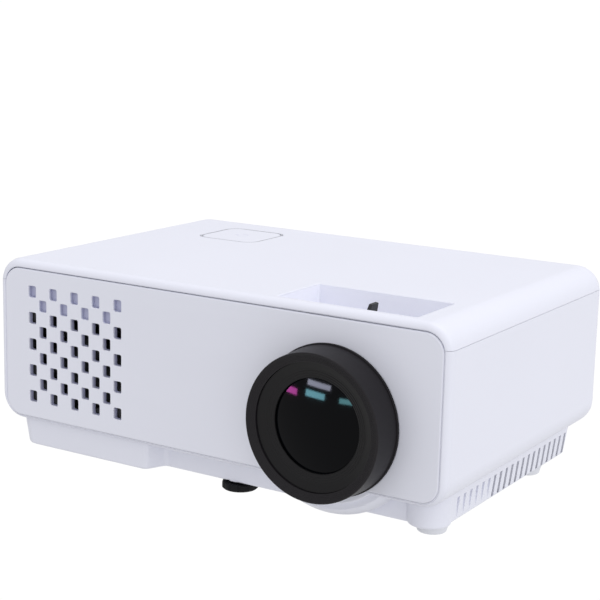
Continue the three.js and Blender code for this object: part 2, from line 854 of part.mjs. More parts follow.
// Side slots: grooves on both sides of the base, open ones behind the blind ones
function sideSlots() {
  const cuts = [];
  const lastY = baseRearY - slotRearInset;
  const slotCount = Math.floor((lastY - baseMiddleY - slotFrontInset) / slotPitch) + 1;
  for (let i = 0; i < slotCount; i += 1) {
    const y = lastY - i * slotPitch;
    const bottomZ = baseBottomZ + slotLift;
    const topZ = bottomZ + slotHeight;
    const grooveX = baseTopHalfWidth - baseTaper / 2 - slotGrooveDepth;
    const throughX = baseTopHalfWidth - baseTaper - 2 * wall;
    for (const side of [-1, 1]) {
      const [x0, x1] = [side * grooveX, side * caseWidth].sort((a, b) => a - b);
      cuts.push(block(x0, x1, y - slotWidth / 2, y + slotWidth / 2, bottomZ, topZ));
      if (i < slotCount - slotBlindCount) {
        const [t0, t1] = [side * throughX, side * (grooveX + overrun)].sort((a, b) => a - b);
        cuts.push(block(t0, t1, y - slotWidth / 2, y + slotWidth / 2, floorZ + gap, topZ));
      }
    }
  }
  return join(...cuts);
}

// What stands on the bottom case's floor, inside its walls
const footSpots = {
  foot_front_left: [-footX, footFrontY],
  foot_front_right: [footX, footFrontY],
  foot_rear_left: [-footX, footRearY],
  foot_rear_right: [footX, footRearY],
};

const screwSpots = {
  case_screw_front_left: [-screwX, screwFrontY],
  case_screw_front_right: [screwX, screwFrontY],
  case_screw_rear_left: [-screwX, screwRearY],
  case_screw_rear_right: [screwX, screwRearY],
};

const spread = (x0, x1, y0, y1) => [[x0, y0], [x1, y0], [x0, y1], [x1, y1]];

const powerBoardY = powerBoardFrontY + powerBoardDepth / 2;
const powerPosts = spread(
  powerBoardX - powerBoardWidth / 2 + 2 * powerPostRadius,
  powerBoardX + powerBoardWidth / 2 - 2 * powerPostRadius,
  powerBoardFrontY + 2 * powerPostRadius, powerBoardFrontY + powerBoardDepth - 2 * powerPostRadius);
const opticsLegs = spread(
  opticsLeftX + opticsLegInset, opticsRightX - opticsLegInset,
  opticsFrontY + opticsLegInset, opticsRearY - opticsLegInset);

const intakeFrontY = pocketY;
const exhaustRearY = innerRearY - gap;

function fanSeats(x, z, y0, y1) {
  const seats = [-1, 1].map((side) => {
    const seatX = x + side * (fanSize / 2 - 2 * fanSeatThickness);
    return blockAt(seatX, (y0 + y1) / 2, (floorZ + z - fanSize / 2 - gap) / 2,
      fanSeatThickness, y1 - y0, z - fanSize / 2 - gap - floorZ);
  });
  return join(...seats);
}

function boardSeats() {
  const topZ = mainBoardBottomZ - gap;
  const seats = [mainBoardLeftX + boardSeatWidth, mainBoardRightX - 3 * boardSeatWidth].map((x) => blockAt(
    x, mainBoardY + boardThickness / 2, (floorZ + topZ) / 2, boardSeatWidth, boardSeatWidth,
    topZ - floorZ));
  return join(...seats);
}

function floorFeatures() {
  const screwBosses = Object.values(screwSpots).map(([x, y]) => rodZ(
    x, y, baseBottomZ, baseBottomZ + screwBossHeight, screwBossRadius, smallTurn));
  const legs = opticsLegs.map(([x, y]) => rodZ(x, y, baseBottomZ, opticsBottomZ - gap, opticsLegRadius,
    tinyTurn));
  const posts = powerPosts.map(([x, y]) => rodZ(x, y, baseBottomZ, powerBoardZ - gap, powerPostRadius,
    tinyTurn));
  const tripodBoss = rodZ(
    tripodX, tripodY, baseBottomZ, baseBottomZ + tripodNutHeight + gap + tripodBossWall,
    tripodNutRadius + gap + tripodBossWall, mediumTurn);
  const footBoss = rodZ(knobX, knobY, baseBottomZ, baseBottomZ + footBossHeight, footBossRadius,
    mediumTurn);
  const seats = join(
    fanSeats(intakeX, intakeZ, intakeFrontY + fanSeatThickness, intakeFrontY + fanThickness),
    fanSeats(exhaustX, exhaustZ, exhaustRearY - fanThickness, exhaustRearY),
    boardSeats());
  return join(seats, ...screwBosses, ...legs, ...posts, tripodBoss, footBoss);
}

const screwHeadZ = baseBottomZ + screwHeadSink;
const nutTopZ = baseBottomZ + footBossHeight;

function floorHoles() {
  const screws = Object.values(screwSpots).flatMap(([x, y]) => [
    rodZ(x, y, baseBottomZ - overrun, screwHeadZ + screwHeadHeight + gap, screwHeadRadius + gap, smallTurn),
    rodZ(x, y, baseBottomZ, baseBottomZ + screwBossHeight + overrun, screwShankRadius + gap, tinyTurn),
  ]);
  const studs = Object.values(footSpots).map(([x, y]) => rodZ(
    x, y, baseBottomZ - overrun, baseBottomZ + footStudHeight, footStudRadius + gap, tinyTurn));
  const tripodPocket = rodZ(
    tripodX, tripodY, baseBottomZ - overrun, baseBottomZ + tripodNutHeight + gap, tripodNutRadius + gap,
    mediumTurn);
  const stemHole = rodZ(knobX, knobY, baseBottomZ - overrun, nutTopZ, stemRadius + gap, smallTurn);
  const nutPocket = turnedZ([
    [0, nutTopZ - nutHeight - gap],
    [nutRadius + gap, nutTopZ - nutHeight - gap],
    [nutRadius + gap, nutTopZ - nutFlangeThickness - gap],
    [nutFlangeRadius + gap, nutTopZ - nutFlangeThickness - gap],
    [nutFlangeRadius + gap, nutTopZ + overrun],
    [0, nutTopZ + overrun],
  ], knobX, knobY, smallTurn);
  return join(...screws, ...studs, tripodPocket, stemHole, nutPocket);
}

function bottomCase() {
  const outside = join(
    caseForm(), baseForm(), cornerPost(), chinForm(),
    rodZ(knobX, knobY, baseBottomZ, caseBottomZ + wall / 2, footBossRadius, mediumTurn));
  const hollow = join(caseHollow(), baseHollow(), chinHollow());
  const shell = join(cut(outside, hollow), floorFeatures().intersect(outside));
  return cut(shell, frontPocket(), rearPocket(), sideSlots(), floorHoles(), above(seamZ - gap / 2));
}

// Top cover with the finger recess, the key hole and the screw posts
const recessRightX = recessLeftX + recessWidth;
const recessFrontY = frontY + recessFrontInset;
const recessRearY = recessFrontY + recessLength;
const recessFloorZ = lensZ + recessLift;
const recessBottomZ = recessFloorZ - recessWall;
const keyBoardTopZ = caseTopZ - keyPlate - keyTravel - gap - plungerHeight - switchHeight;

function recessTub() {
  const [x, y] = [(recessLeftX + recessRightX) / 2, (recessFrontY + recessRearY) / 2];
  const shape = roundedShape(
    recessWidth + 2 * recessWall, recessLength + 2 * recessWall, recessRadius + recessWall, x, y);
  return plateZ(shape, recessBottomZ, innerTopZ + wall / 2);
}

function recessHollow() {
  const [x, y] = [(recessLeftX + recessRightX) / 2, (recessFrontY + recessRearY) / 2];
  return plateZ(roundedShape(recessWidth, recessLength, recessRadius, x, y), recessFloorZ,
    caseTopZ + overrun);
}

function leverSlot() {
  const side = leverFinThickness / 2 + leverClearance;
  const reach = recessFloorZ - lensZ;
  const leftX = lensX + reach * Math.tan(leverAngle - leverSwingLeft) - side;
  const rightX = lensX + reach * Math.tan(leverAngle + leverSwingRight) + side;
  const [frontEnd, rearEnd] = [leverY - leverLength / 2 - leverClearance,
    leverY + leverLength / 2 + leverClearance];
  return block(leftX, rightX, frontEnd, rearEnd, recessBottomZ - overrun, recessFloorZ + overrun);
}

const keyHoleSize = keySize + 4 * gap + 2 * trimWidth;
const keyTrimOuter = keySize + 2 * gap + 2 * trimWidth;
const keyBoardWidth = keyTrimOuter + 2 * trimFlange + 4 * keyPostRadius + 2 * keyBoardClearance;
const squareAt = (size, radius) => roundedShape(size, size, radius, keyX, keyY);
const keyPostX = keyBoardWidth / 2 - keyPostRadius;

function topCover() {
  const shell = cut(caseForm(), caseHollow());
  const posts = Object.values(screwSpots).map(([x, y]) => rodZ(
    x, y, baseBottomZ + screwBossHeight + gap, innerTopZ + wall / 2, screwPostRadius, smallTurn));
  const keyPosts = [-1, 1].map((side) => rodZ(
    keyX + side * keyPostX, keyY, keyBoardTopZ + gap, innerTopZ + wall / 2, keyPostRadius, tinyTurn));
  const pilots = Object.values(screwSpots).map(([x, y]) => rodZ(
    x, y, baseBottomZ, baseBottomZ + screwBossHeight + screwPilotDepth, screwShankRadius + gap, tinyTurn));
  const keyHole = plateZ(squareAt(keyHoleSize, keyCornerRadius + 2 * gap + trimWidth), innerTopZ - overrun,
    caseTopZ + overrun);
  const cover = cut(shell, below(seamZ + gap / 2));
  return cut(
    join(cover, recessTub(), ...posts, ...keyPosts),
    recessHollow(), leverSlot(), keyHole, frontPocket(), ...pilots);
}

// Power key, its trim ring and its board
const trimBottomZ = caseTopZ - trimHeight;
const keyFlangeTopZ = trimBottomZ - gap;
const keyStemZ = keyBoardTopZ + switchHeight + plungerHeight + keyTravel + gap;

function powerKey() {
  const cap = plateZ(squareAt(keySize, keyCornerRadius), keyFlangeTopZ - keyFlangeThickness, caseTopZ,
    edgeSteps);
  const flange = plateZ(
    squareAt(keySize + 2 * keyFlange, keyCornerRadius), keyFlangeTopZ - keyFlangeThickness, keyFlangeTopZ);
  const hollow = rodZ(keyX, keyY, keyFlangeTopZ - keyFlangeThickness - overrun, keyStemZ,
    keyHollowRadius, smallTurn);
  return cut(join(cap, flange), hollow);
}

function keyTrimRing() {
  const inner = squareAt(keySize + 2 * gap, keyCornerRadius + gap);
  const outer = squareAt(keyTrimOuter, keyCornerRadius + gap + trimWidth);
  const flangeTopZ = innerTopZ - gap;
  const flange = squareAt(keyTrimOuter + 2 * trimFlange, keyCornerRadius + trimWidth);
  return cut(
    join(plateZ(outer, trimBottomZ, caseTopZ, edgeSteps), plateZ(flange,
      flangeTopZ - trimFlangeThickness, flangeTopZ)),
    plateZ(inner, trimBottomZ - overrun, caseTopZ + overrun, edgeSteps));
}

function keySwitchBoard() {
  const board = blockAt(keyX, keyY, keyBoardTopZ - boardThickness / 2, keyBoardWidth, keyBoardDepth,
    boardThickness);
  const body = blockAt(keyX, keyY, keyBoardTopZ + switchHeight / 2, switchSize, switchSize, switchHeight);
  const plungerZ = keyBoardTopZ + switchHeight;
  const plunger = rodZ(keyX, keyY, plungerZ - gap, plungerZ + plungerHeight, plungerRadius, tinyTurn);
  return join(board, body, plunger);
}

// Round feet with a stud that presses into the floor
function roundFoot([x, y]) {
  const topZ = baseBottomZ - gap;
  return turnedZ([
    [0, 0],
    [footBottomRadius - footEdgeRadius, 0],
    [footBottomRadius, footEdgeRadius],
    [footTopRadius, topZ],
    [footStudRadius, topZ],
    [footStudRadius, topZ + footStudHeight],
    [0, topZ + footStudHeight],
  ], x, y, smallTurn);
}

// Screw foot: the knob carries the threaded stem and turns on its pad
const knobBottomZ = padHeight + gap;
const knobTopZ = knobBottomZ + knobRimHeight;
const padStudRadius = padRadius / 2;

function footKnob() {
  const body = turnedZ([
    [0, knobBottomZ],
    [padRadius, knobBottomZ],
    [knobRadius - knobEdgeRadius, knobBottomZ + knobDome / 2],
    [knobRadius, knobBottomZ + knobDome],
    [knobRadius, knobTopZ - knobEdgeRadius],
    [knobRadius - knobEdgeRadius, knobTopZ],
    [stemRadius, knobTopZ + knobTopRelief / 2],
    [stemRadius, knobTopZ + stemLength],
    [0, knobTopZ + stemLength],
  ], knobX, knobY, mediumTurn);
  const flutes = [];
  for (let i = 0; i < knobFlutes; i += 1) {
    const angle = (i / knobFlutes) * Math.PI * 2;
    const reach = knobRadius + knobFluteRadius / 2;
    flutes.push(rodZ(
      knobX + reach * Math.cos(angle), knobY + reach * Math.sin(angle),
      knobBottomZ - overrun, knobTopZ + overrun, knobFluteRadius, tinyTurn));
  }
  const studHole = rodZ(
    knobX, knobY, knobBottomZ - overrun, knobBottomZ + knobRimHeight / 2 + gap, padStudRadius + gap,
    tinyTurn);
  return cut(body, studHole, ...flutes);
}

function footPad() {
  return turnedZ([
    [0, gap],
    [padRadius - gap, gap],
    [padRadius, padHeight],
    [padStudRadius, padHeight],
    [padStudRadius, knobBottomZ + knobRimHeight / 2],
    [0, knobBottomZ + knobRimHeight / 2],
  ], knobX, knobY, smallTurn);
}

function footNut() {
  return turnedZ([
    [stemRadius + gap, nutTopZ - nutHeight],
    [nutRadius, nutTopZ - nutHeight],
    [nutRadius, nutTopZ - nutFlangeThickness],
    [nutFlangeRadius, nutTopZ - nutFlangeThickness],
    [nutFlangeRadius, nutTopZ],
    [stemRadius + gap, nutTopZ],
  ], knobX, knobY, smallTurn);
}

function tripodNut() {
  return turnedZ([
    [tripodBoreRadius, baseBottomZ],
    [tripodNutRadius, baseBottomZ],
    [tripodNutRadius, baseBottomZ + tripodNutHeight],
    [tripodBoreRadius, baseBottomZ + tripodNutHeight],
  ], tripodX, tripodY, smallTurn);
}

function caseScrew([x, y]) {
  const neckZ = screwHeadZ + screwHeadHeight;
  const body = turnedZ([
    [0, screwHeadZ],
    [screwHeadRadius, screwHeadZ],
    [screwHeadRadius, neckZ],
    [screwShankRadius, neckZ],
    [screwShankRadius, screwHeadZ + screwLength],
    [0, screwHeadZ + screwLength],
  ], x, y, tinyTurn);
  const driveSize = screwHeadRadius;
  const driveWidth = screwShankRadius / 2;
  const drive = join(
    blockAt(x, y, screwHeadZ, driveSize, driveWidth, screwHeadHeight),
    blockAt(x, y, screwHeadZ, driveWidth, driveSize, screwHeadHeight));
  return cut(body, drive);
}

// A shape drawn in y and z, extruded from x0 to x1
function plateX(shape, x0, x1, steps = smallSteps) {
  const geometry = new THREE.ExtrudeGeometry(shape, { depth: x1 - x0, bevelEnabled: false,
    curveSegments: steps });
  geometry.applyMatrix4(new THREE.Matrix4().makeBasis(
    new THREE.Vector3(0, 1, 0), new THREE.Vector3(0, 0, 1), new THREE.Vector3(1, 0, 0)));
  geometry.translate(x0, 0, 0);
  return toSolid(geometry);
}

// The lens is turned about its axis; out is a distance forward of the panel
const out = (distance) => frontY - distance;

function focusRing() {
  const rearY0 = out(gap);
  const lipY = out(lensProud);
  const dishY = out(lensProud - ringLipDepth);
  const hubY = out(gap + ringHubLength);
  const lipMiddle = (ringLipRadius + ringBore) / 2;
  return lensTurned([
    [leverBore, rearY0],
    [ringFlangeRadius, rearY0],
    [ringFlangeRadius, out(gap + ringFlangeThickness)],
    [ringRearRadius, out(gap + ringFlangeThickness)],
    [ringFrontRadius, out(lensProud - ringEdgeRadius)],
    [ringFrontRadius - ringEdgeRadius / 3, out(lensProud - ringEdgeRadius / 3)],
    [ringLipRadius, lipY],
    [lipMiddle, (lipY + dishY) / 2],
    [ringBore, dishY],
    [ringBore, hubY],
    [leverBore, hubY],
  ], largeTurn);
}

function lensSleeve() {
  const rearEndY = opticsFrontY - gap;
  const lipY = out(sleeveOut);
  const tube = lensTurned([
    [sleeveBore, lipY],
    [sleeveLipRadius, lipY],
    [sleeveLipRadius, out(sleeveOut - sleeveLipLength)],
    [sleeveRadius, out(sleeveOut - sleeveLipLength)],
    [sleeveRadius, rearEndY],
    [sleeveBore, rearEndY],
  ], mediumTurn);
  const flange = block(
    lensX - sleeveFlangeHalfWidth, lensX + sleeveFlangeHalfWidth, pocketY, pocketY + sleeveFlangeThickness,
    caseBottomZ + panelBottomRim + panelLedge + sleeveFlangeLift,
    caseTopZ - panelTopRim - panelLedge - sleeveFlangeDrop);
  const bore = rodY(lensX, lensZ, pocketY - overrun, pocketY + sleeveFlangeThickness + overrun,
    sleeveBore, mediumTurn);
  return join(tube, cut(flange, bore));
}

const tubeBoreEndY = frontY + midGlassIn - gap;

function lensBarrel() {
  const rearEndY = frontY + barrelRearIn;
  return lensTurned([
    [barrelBore, rearEndY],
    [barrelRadius, rearEndY],
    [barrelRadius, out(cupRearOut)],
    [cupRadius, out(cupRearOut)],
    [cupRadius, out(cupFrontOut)],
    [cupBore, out(cupFrontOut)],
    [cupBore, out(cupSeatOut)],
    [barrelStepRadius, out(cupSeatOut)],
    [barrelStepRadius, tubeBoreEndY],
    [barrelBore, tubeBoreEndY],
  ], mediumTurn);
}

const glassRearOut = cupSeatOut + gap;
const glassFrontOut = glassRearOut + glassEdge;

// Points of a shallow dome from its rim to the axis
function dome(radius, y, rise) {
  const points = [];
  for (let i = 0; i < edgeSteps; i += 1) {
    const share = Math.cos((i / edgeSteps) * Math.PI / 2);
    points.push([radius * share, y + rise * (1 - share ** 2)]);
  }
  points.push([0, y + rise]);
  return points;
}

function frontGlass() {
  const front = dome(glassAperture, out(glassFrontOut), -glassDome);
  const rear = dome(glassHollowRadius, out(glassRearOut), -glassHollow);
  return lensTurned([
    [glassRadius, out(glassRearOut)],
    [glassRadius, out(glassFrontOut)],
    ...front,
    ...[...rear].reverse(),
  ], mediumTurn);
}

function retainingRing() {
  const seatOut = glassFrontOut + gap;
  const frontOut = cupFrontOut + gap + retainerFront;
  const rimOut = cupFrontOut + gap;
  const face = [];
  for (let i = 0; i < retainerSteps; i += 1) {
    const radius = cupRadius + (retainerBore - cupRadius) * i / retainerSteps;
    const next = cupRadius + (retainerBore - cupRadius) * (i + 1) / retainerSteps;
    const stepOut = frontOut + (seatOut + gap - frontOut) * i / retainerSteps;
    const nextOut = frontOut + (seatOut + gap - frontOut) * (i + 1) / retainerSteps;
    face.push([(radius * 3 + next) / 4, out(stepOut)]);
    face.push([next, out(nextOut + (stepOut - nextOut) / 4)]);
  }
  return lensTurned([
    [retainerBore, out(seatOut)],
    [glassRadius, out(seatOut)],
    [glassRadius, out(rimOut)],
    [cupRadius, out(rimOut)],
    ...face,
  ], largeTurn);
}

function innerGlass(inward, edge, rise) {
  const [front, rear] = [frontY + inward, frontY + inward + edge];
  return lensTurned([
    [innerGlassRadius, front],
    ...dome(innerGlassRadius - gap, front, -rise),
    ...[...dome(innerGlassRadius - gap, rear, rise)].reverse(),
    [innerGlassRadius, rear],
  ], smallTurn);
}

function lensSpacer() {
  const [front, rear] = [frontY + midGlassIn + midGlassEdge + gap, frontY + rearGlassIn - gap];
  return lensTurned([
    [spacerBore, front], [innerGlassRadius, front], [innerGlassRadius, rear], [spacerBore, rear],
  ], smallTurn);
}

function rearRetainer() {
  const [front, rear] = [frontY + rearGlassIn + rearGlassEdge + gap, frontY + barrelRearIn];
  return lensTurned([
    [spacerBore, front], [innerGlassRadius, front], [innerGlassRadius, rear], [spacerBore, rear],
  ], smallTurn);
}

// Keystone lever: a ring on the sleeve, the fin in the recess and a crank pin
const leverFrontY = leverY - leverLength / 2;
const leverRearY = leverY + leverLength / 2;

function keystoneLever() {
  const ring = lensTurned([
    [leverBore, leverFrontY], [leverRingRadius, leverFrontY], [leverRingRadius, leverRearY], [leverBore,
      leverRearY],
  ], mediumTurn);
  const rootZ = lensZ + (leverBore + leverRingRadius) / 2;
  const topZ = caseTopZ - leverFinDrop;
  const fin = new THREE.Shape([
    new THREE.Vector2(leverFrontY, rootZ),
    new THREE.Vector2(leverRearY, rootZ),
    new THREE.Vector2(leverRearY, topZ),
    new THREE.Vector2(leverFrontY + leverFinSlope, topZ),
    new THREE.Vector2(leverFrontY, topZ - 2 * leverFinSlope),
  ]);
  const upright = plateX(fin, lensX - leverFinThickness / 2, lensX + leverFinThickness / 2);
  const turned = upright.translate([-lensX, 0, -lensZ])
    .rotate([0, THREE.MathUtils.radToDeg(leverAngle), 0]).translate([lensX, 0, lensZ]);
  const lug = block(
    lensX - crankRadius - crankPinRadius - gap, lensX - (leverBore + leverRingRadius) / 2,
    leverFrontY, leverRearY, lensZ - crankLugHalfHeight, lensZ + crankLugHalfHeight);
  const pin = rodY(lensX - crankRadius, lensZ, leverRearY - gap, leverRearY + crankPinLength,
    crankPinRadius, tinyTurn);
  return join(ring, turned, lug, pin);
}

// Optics housing: one tray with partitions, open on top, closed by its lid
const opticsFloorZ = opticsBottomZ + opticsWall;
const gateForkX = lensX - crankRadius;

function partition(x, halfWidth, halfHeight) {
  const wallPlate = block(x - opticsWall, x, opticsFrontY + gap, opticsRearY - gap, opticsBottomZ + gap,
    opticsTopZ);
  return cut(wallPlate, block(
    x - 2 * opticsWall, x + opticsWall, opticsY - halfWidth, opticsY + halfWidth, lensZ - halfHeight,
    lensZ + halfHeight));
}

function mirrorRibs() {
  const reach = mirrorHalfWidth + gap + mirrorRib;
  const back = mirrorThickness / 2 + gap;
  const ribs = [-1, 1].map((side) => {
    const seat = block(
      side * reach - mirrorRib / 2 - side * mirrorRib / 2,
      side * reach + mirrorRib / 2 - side * mirrorRib / 2,
      -back - mirrorRib, back + mirrorRib / 2, opticsBottomZ + gap, opticsTopZ - gap);
    const slot = block(-mirrorHalfWidth - gap, mirrorHalfWidth + gap, -back, back, opticsBottomZ,
      opticsTopZ);
    return cut(seat, slot);
  });
  return join(...ribs).rotate([0, 0, -45]).translate([lensX, opticsY, 0]);
}

function opticsHousing() {
  const outer = block(opticsLeftX, opticsRightX, opticsFrontY, opticsRearY, opticsBottomZ, opticsTopZ);
  const inner = block(
    opticsLeftX + opticsWall, opticsRightX - opticsWall, opticsFrontY + opticsWall,
    opticsRearY - opticsWall,
    opticsFloorZ, opticsTopZ + overrun);
  const lampWindow = block(
    opticsLeftX - overrun, opticsLeftX + 2 * opticsWall,
    opticsY - ledChipSize, opticsY + ledChipSize, lensZ - ledChipSize, lensZ + ledChipSize);
  const lensWindow = rodY(
    lensX, lensZ, opticsFrontY - overrun, opticsFrontY + opticsWall + overrun, barrelRadius, mediumTurn);
  const frontPivot = rodY(
    gateX, lensZ, opticsFrontY - overrun, opticsFrontY + opticsWall + overrun, gateShaftRadius + gap,
    smallTurn);
  const rearPivot = rodY(
    gateX, lensZ, opticsRearY - opticsWall - overrun, opticsRearY + overrun, gateShaftRadius + gap,
    smallTurn);
  const tray = join(
    cut(outer, inner),
    partition(condenserX, condenserRadius - condenserEdge / 2, condenserRadius - condenserEdge / 2),
    partition(fresnelRearX, windowHalfWidth, windowHalfHeight),
    partition(fresnelFrontX + opticsWall, windowHalfWidth, windowHalfHeight),
    mirrorRibs());
  return cut(tray, lampWindow, lensWindow, frontPivot, rearPivot);
}

function opticsLid() {
  return block(
    opticsLeftX, opticsRightX, opticsFrontY, opticsRearY, opticsTopZ + gap,
    opticsTopZ + gap + lidThickness);
}

function opticsPlate(x, thickness) {
  return blockAt(
    x + thickness / 2, opticsY, lensZ, thickness, 2 * (windowHalfWidth + plateMargin),
    2 * (windowHalfHeight + plateMargin));
}

const fresnelRear = () => opticsPlate(fresnelRearX + gap, fresnelThickness);
const fresnelFront = () => opticsPlate(fresnelFrontX - gap - fresnelThickness, fresnelThickness);

function condenserLens() {
  const points = [
    [condenserRadius, 0],
    [condenserRadius, condenserEdge],
    ...dome(condenserRadius - gap, condenserEdge, condenserDome),
    [0, 0],
  ];
  return turnedY(points, 0, 0, mediumTurn).rotate([0, 0, -90]).translate([condenserX + gap, opticsY,
    lensZ]);
}

function lcdGate() {
  const halfWidth = (opticsRearY - opticsFrontY) / 2 - opticsWall - gap;
  const frame = blockAt(gateX, opticsY, lensZ, gateThickness, 2 * halfWidth, 2 * gateHalfHeight);
  const pocket = block(
    gateX - gateThickness / 2 + lcdThickness / 2, gateX + gateThickness, opticsY - lcdHalfWidth - gap,
    opticsY + lcdHalfWidth + gap, lensZ - lcdHalfHeight - gap, lensZ + lcdHalfHeight + gap);
  const window = block(
    gateX - gateThickness, gateX + gateThickness, opticsY - lcdHalfWidth + plateMargin,
    opticsY + lcdHalfWidth - plateMargin, lensZ - lcdHalfHeight + plateMargin,
    lensZ + lcdHalfHeight - plateMargin);
  const armFrontY = leverRearY + overrun;
  const frontShaft = rodY(gateX, lensZ, armFrontY, opticsY - halfWidth + overrun, gateShaftRadius,
    tinyTurn);
  const rearShaft = rodY(gateX, lensZ, opticsY + halfWidth - overrun, opticsRearY + overrun,
    gateShaftRadius, tinyTurn);
  const arm = block(
    gateX - gateArmHalfHeight, gateForkX + gateForkLip, armFrontY, armFrontY + gateArmThickness,
    lensZ - gateArmHalfHeight, lensZ + gateArmHalfHeight);
  const forkHalf = crankPinRadius + gateForkClearance;
  const fork = block(
    gateForkX - gateForkLip, gateForkX + 2 * gateForkLip, armFrontY - overrun,
    armFrontY + gateArmThickness + overrun,
    lensZ - forkHalf, lensZ + forkHalf);
  return join(cut(frame, pocket, window), frontShaft, rearShaft, cut(arm, fork));
}

function lcdPanel() {
  const x = gateX - gateThickness / 2 + lcdThickness / 2 + gap;
  return block(
    x, x + lcdThickness, opticsY - lcdHalfWidth, opticsY + lcdHalfWidth, lensZ - lcdHalfHeight,
    lensZ + lcdHalfHeight);
}

function foldMirror() {
  return blockAt(0, 0, lensZ, 2 * mirrorHalfWidth, mirrorThickness, 2 * mirrorHalfHeight)
    .rotate([0, 0, -45]).translate([lensX, opticsY, 0]);
}

const ledBoardX = opticsLeftX - gap - boardThickness;

function ledBoard() {
  const board = blockAt(
    ledBoardX + boardThickness / 2, opticsY, lensZ, boardThickness, 2 * ledBoardHalfWidth,
    2 * ledBoardHalfHeight);
  const chip = blockAt(
    ledBoardX + boardThickness + ledChipHeight / 2 - gap / 2, opticsY, lensZ,
    ledChipHeight + gap, ledChipSize, ledChipSize);
  return join(board, chip);
}

function ledHeatsink() {
  const frontX = ledBoardX - gap;
  const base = blockAt(frontX - sinkBase / 2, opticsY, lensZ, sinkBase, 2 * sinkHalfWidth,
    2 * sinkHalfHeight);
  const fins = [];
  for (let i = 0; i < sinkFins; i += 1) {
    const y = opticsY + (sinkHalfWidth - sinkFinThickness / 2) * (2 * i / (sinkFins - 1) - 1);
    fins.push(blockAt(
      frontX - sinkThickness / 2, y, lensZ, sinkThickness, sinkFinThickness, 2 * sinkHalfHeight));
  }
  return join(base, ...fins);
}

// Fans: a square frame with spokes at its rear and a bladed rotor
function fanFrame(x, z, y0, y1) {
  const frame = plateY(chamferedShape(fanSize, fanSize, fanCorner, x, z), y0, y1);
  const bore = rodY(x, z, y0 - overrun, y1 + overrun, fanBore, mediumTurn);
  const hub = rodY(x, z, y1 - fanSpokeDepth, y1, rotorHubRadius, smallTurn);
  const spokes = [];
  for (let i = 0; i < fanSpokes; i += 1) {
    const spoke = block(0, fanBore + overrun, y1 - fanSpokeDepth, y1, -fanSpokeWidth / 2,
      fanSpokeWidth / 2);
    spokes.push(spoke.rotate([0, (i / fanSpokes) * 360, 0]).translate([x, 0, z]));
  }
  const shaftHole = rodY(x, z, y0, y1 + overrun, shaftRadius + gap, tinyTurn);
  return cut(join(cut(frame, bore), hub, ...spokes), shaftHole);
}

// One blade, twisted from its root to its tip, through four-sided sections
function fanBlade(middleY) {
  const rings = [];
  for (let i = 0; i <= edgeSteps; i += 1) {
    const share = i / edgeSteps;
    const radius = THREE.MathUtils.lerp(rotorHubRadius - overrun, rotorRadius, share);
    const pitch = THREE.MathUtils.lerp(bladeRootPitch, bladeTipPitch, share);
    const chord = rotorDepth / Math.cos(bladeTipPitch);
    const along = new THREE.Vector3(0, Math.sin(pitch), Math.cos(pitch));
    const across = new THREE.Vector3(0, Math.cos(pitch), -Math.sin(pitch));
    rings.push([[-1, -1], [1, -1], [1, 1], [-1, 1]].map(([a, b]) => new THREE.Vector3(radius, middleY, 0)
      .addScaledVector(along, a * chord / 2).addScaledVector(across, b * bladeThickness / 2)));
  }
  return loft(rings);
}

function fanRotor(x, z, y0, y1) {
  const rotorRearY = y1 - fanSpokeDepth - gap;
  const frontEndY = rotorRearY - rotorDepth;
  const hub = turnedY([
    [0, frontEndY],
    [rotorHubRadius - overrun, frontEndY],
    [rotorHubRadius, frontEndY + overrun],
    [rotorHubRadius, rotorRearY],
    [shaftRadius, rotorRearY],
    [shaftRadius, y1],
    [0, y1],
  ], 0, 0, smallTurn);
  const blades = [];
  for (let i = 0; i < rotorBlades; i += 1) {
    blades.push(fanBlade((frontEndY + rotorRearY) / 2).rotate([0, (i / rotorBlades) * 360, 0]));
  }
  return join(hub, ...blades).translate([x, 0, z]);
}

// Boards, ports and speaker
const portFrontY = rearY;
const portRearY = rearY - portDepth;

function mainBoard() {
  return block(
    mainBoardLeftX, mainBoardRightX, mainBoardY, mainBoardY + boardThickness, mainBoardBottomZ,
    mainBoardTopZ);
}

function portShellBlock({ x, z, width, height }) {
  return blockAt(x, (portRearY + portFrontY) / 2, z, width, portDepth, height);
}

function portRoom({ x, z, width, height }, depth, thickness = portShell) {
  return block(
    x - width / 2 + thickness, x + width / 2 - thickness, portFrontY - depth, portFrontY + overrun,
    z - height / 2 + thickness, z + height / 2 - thickness);
}

function tonguedPort(place, tongue) {
  const depth = portDepth - 2 * portShell;
  const tonguePlate = blockAt(
    place.x, portFrontY - depth / 2 - portShell, place.z, place.width * 2 / 3, depth, tongue);
  return join(cut(portShellBlock(place), portRoom(place, depth)), tonguePlate);
}

const hdmiPort = () => tonguedPort(ports.hdmi, hdmiTongue);
const usbPort = () => tonguedPort(ports.usb, usbTongue);

function vgaPort() {
  const { x, z, width, height } = ports.vga;
  const [top, bottom] = [width / 2 - 2 * portShell, width / 2 - 2 * portShell - vgaSlant];
  const side = height / 2 - portShell;
  const socket = new THREE.Shape([
    new THREE.Vector2(x - bottom, z - side),
    new THREE.Vector2(x + bottom, z - side),
    new THREE.Vector2(x + top, z + side),
    new THREE.Vector2(x - top, z + side),
  ]);
  return cut(portShellBlock(ports.vga), plateY(socket, portFrontY - portDepth / 2, portFrontY + overrun));
}

function cardSlot() {
  return cut(portShellBlock(ports.card), portRoom(ports.card, portDepth - 2 * portShell));
}

function audioJack() {
  return turnedY([
    [0, portRearY],
    [jackRadius, portRearY],
    [jackRadius, portFrontY],
    [jackBore, portFrontY],
    [jackBore, portRearY + 2 * portShell],
    [0, portRearY + 2 * portShell],
  ], jackX, portUpperZ, smallTurn);
}

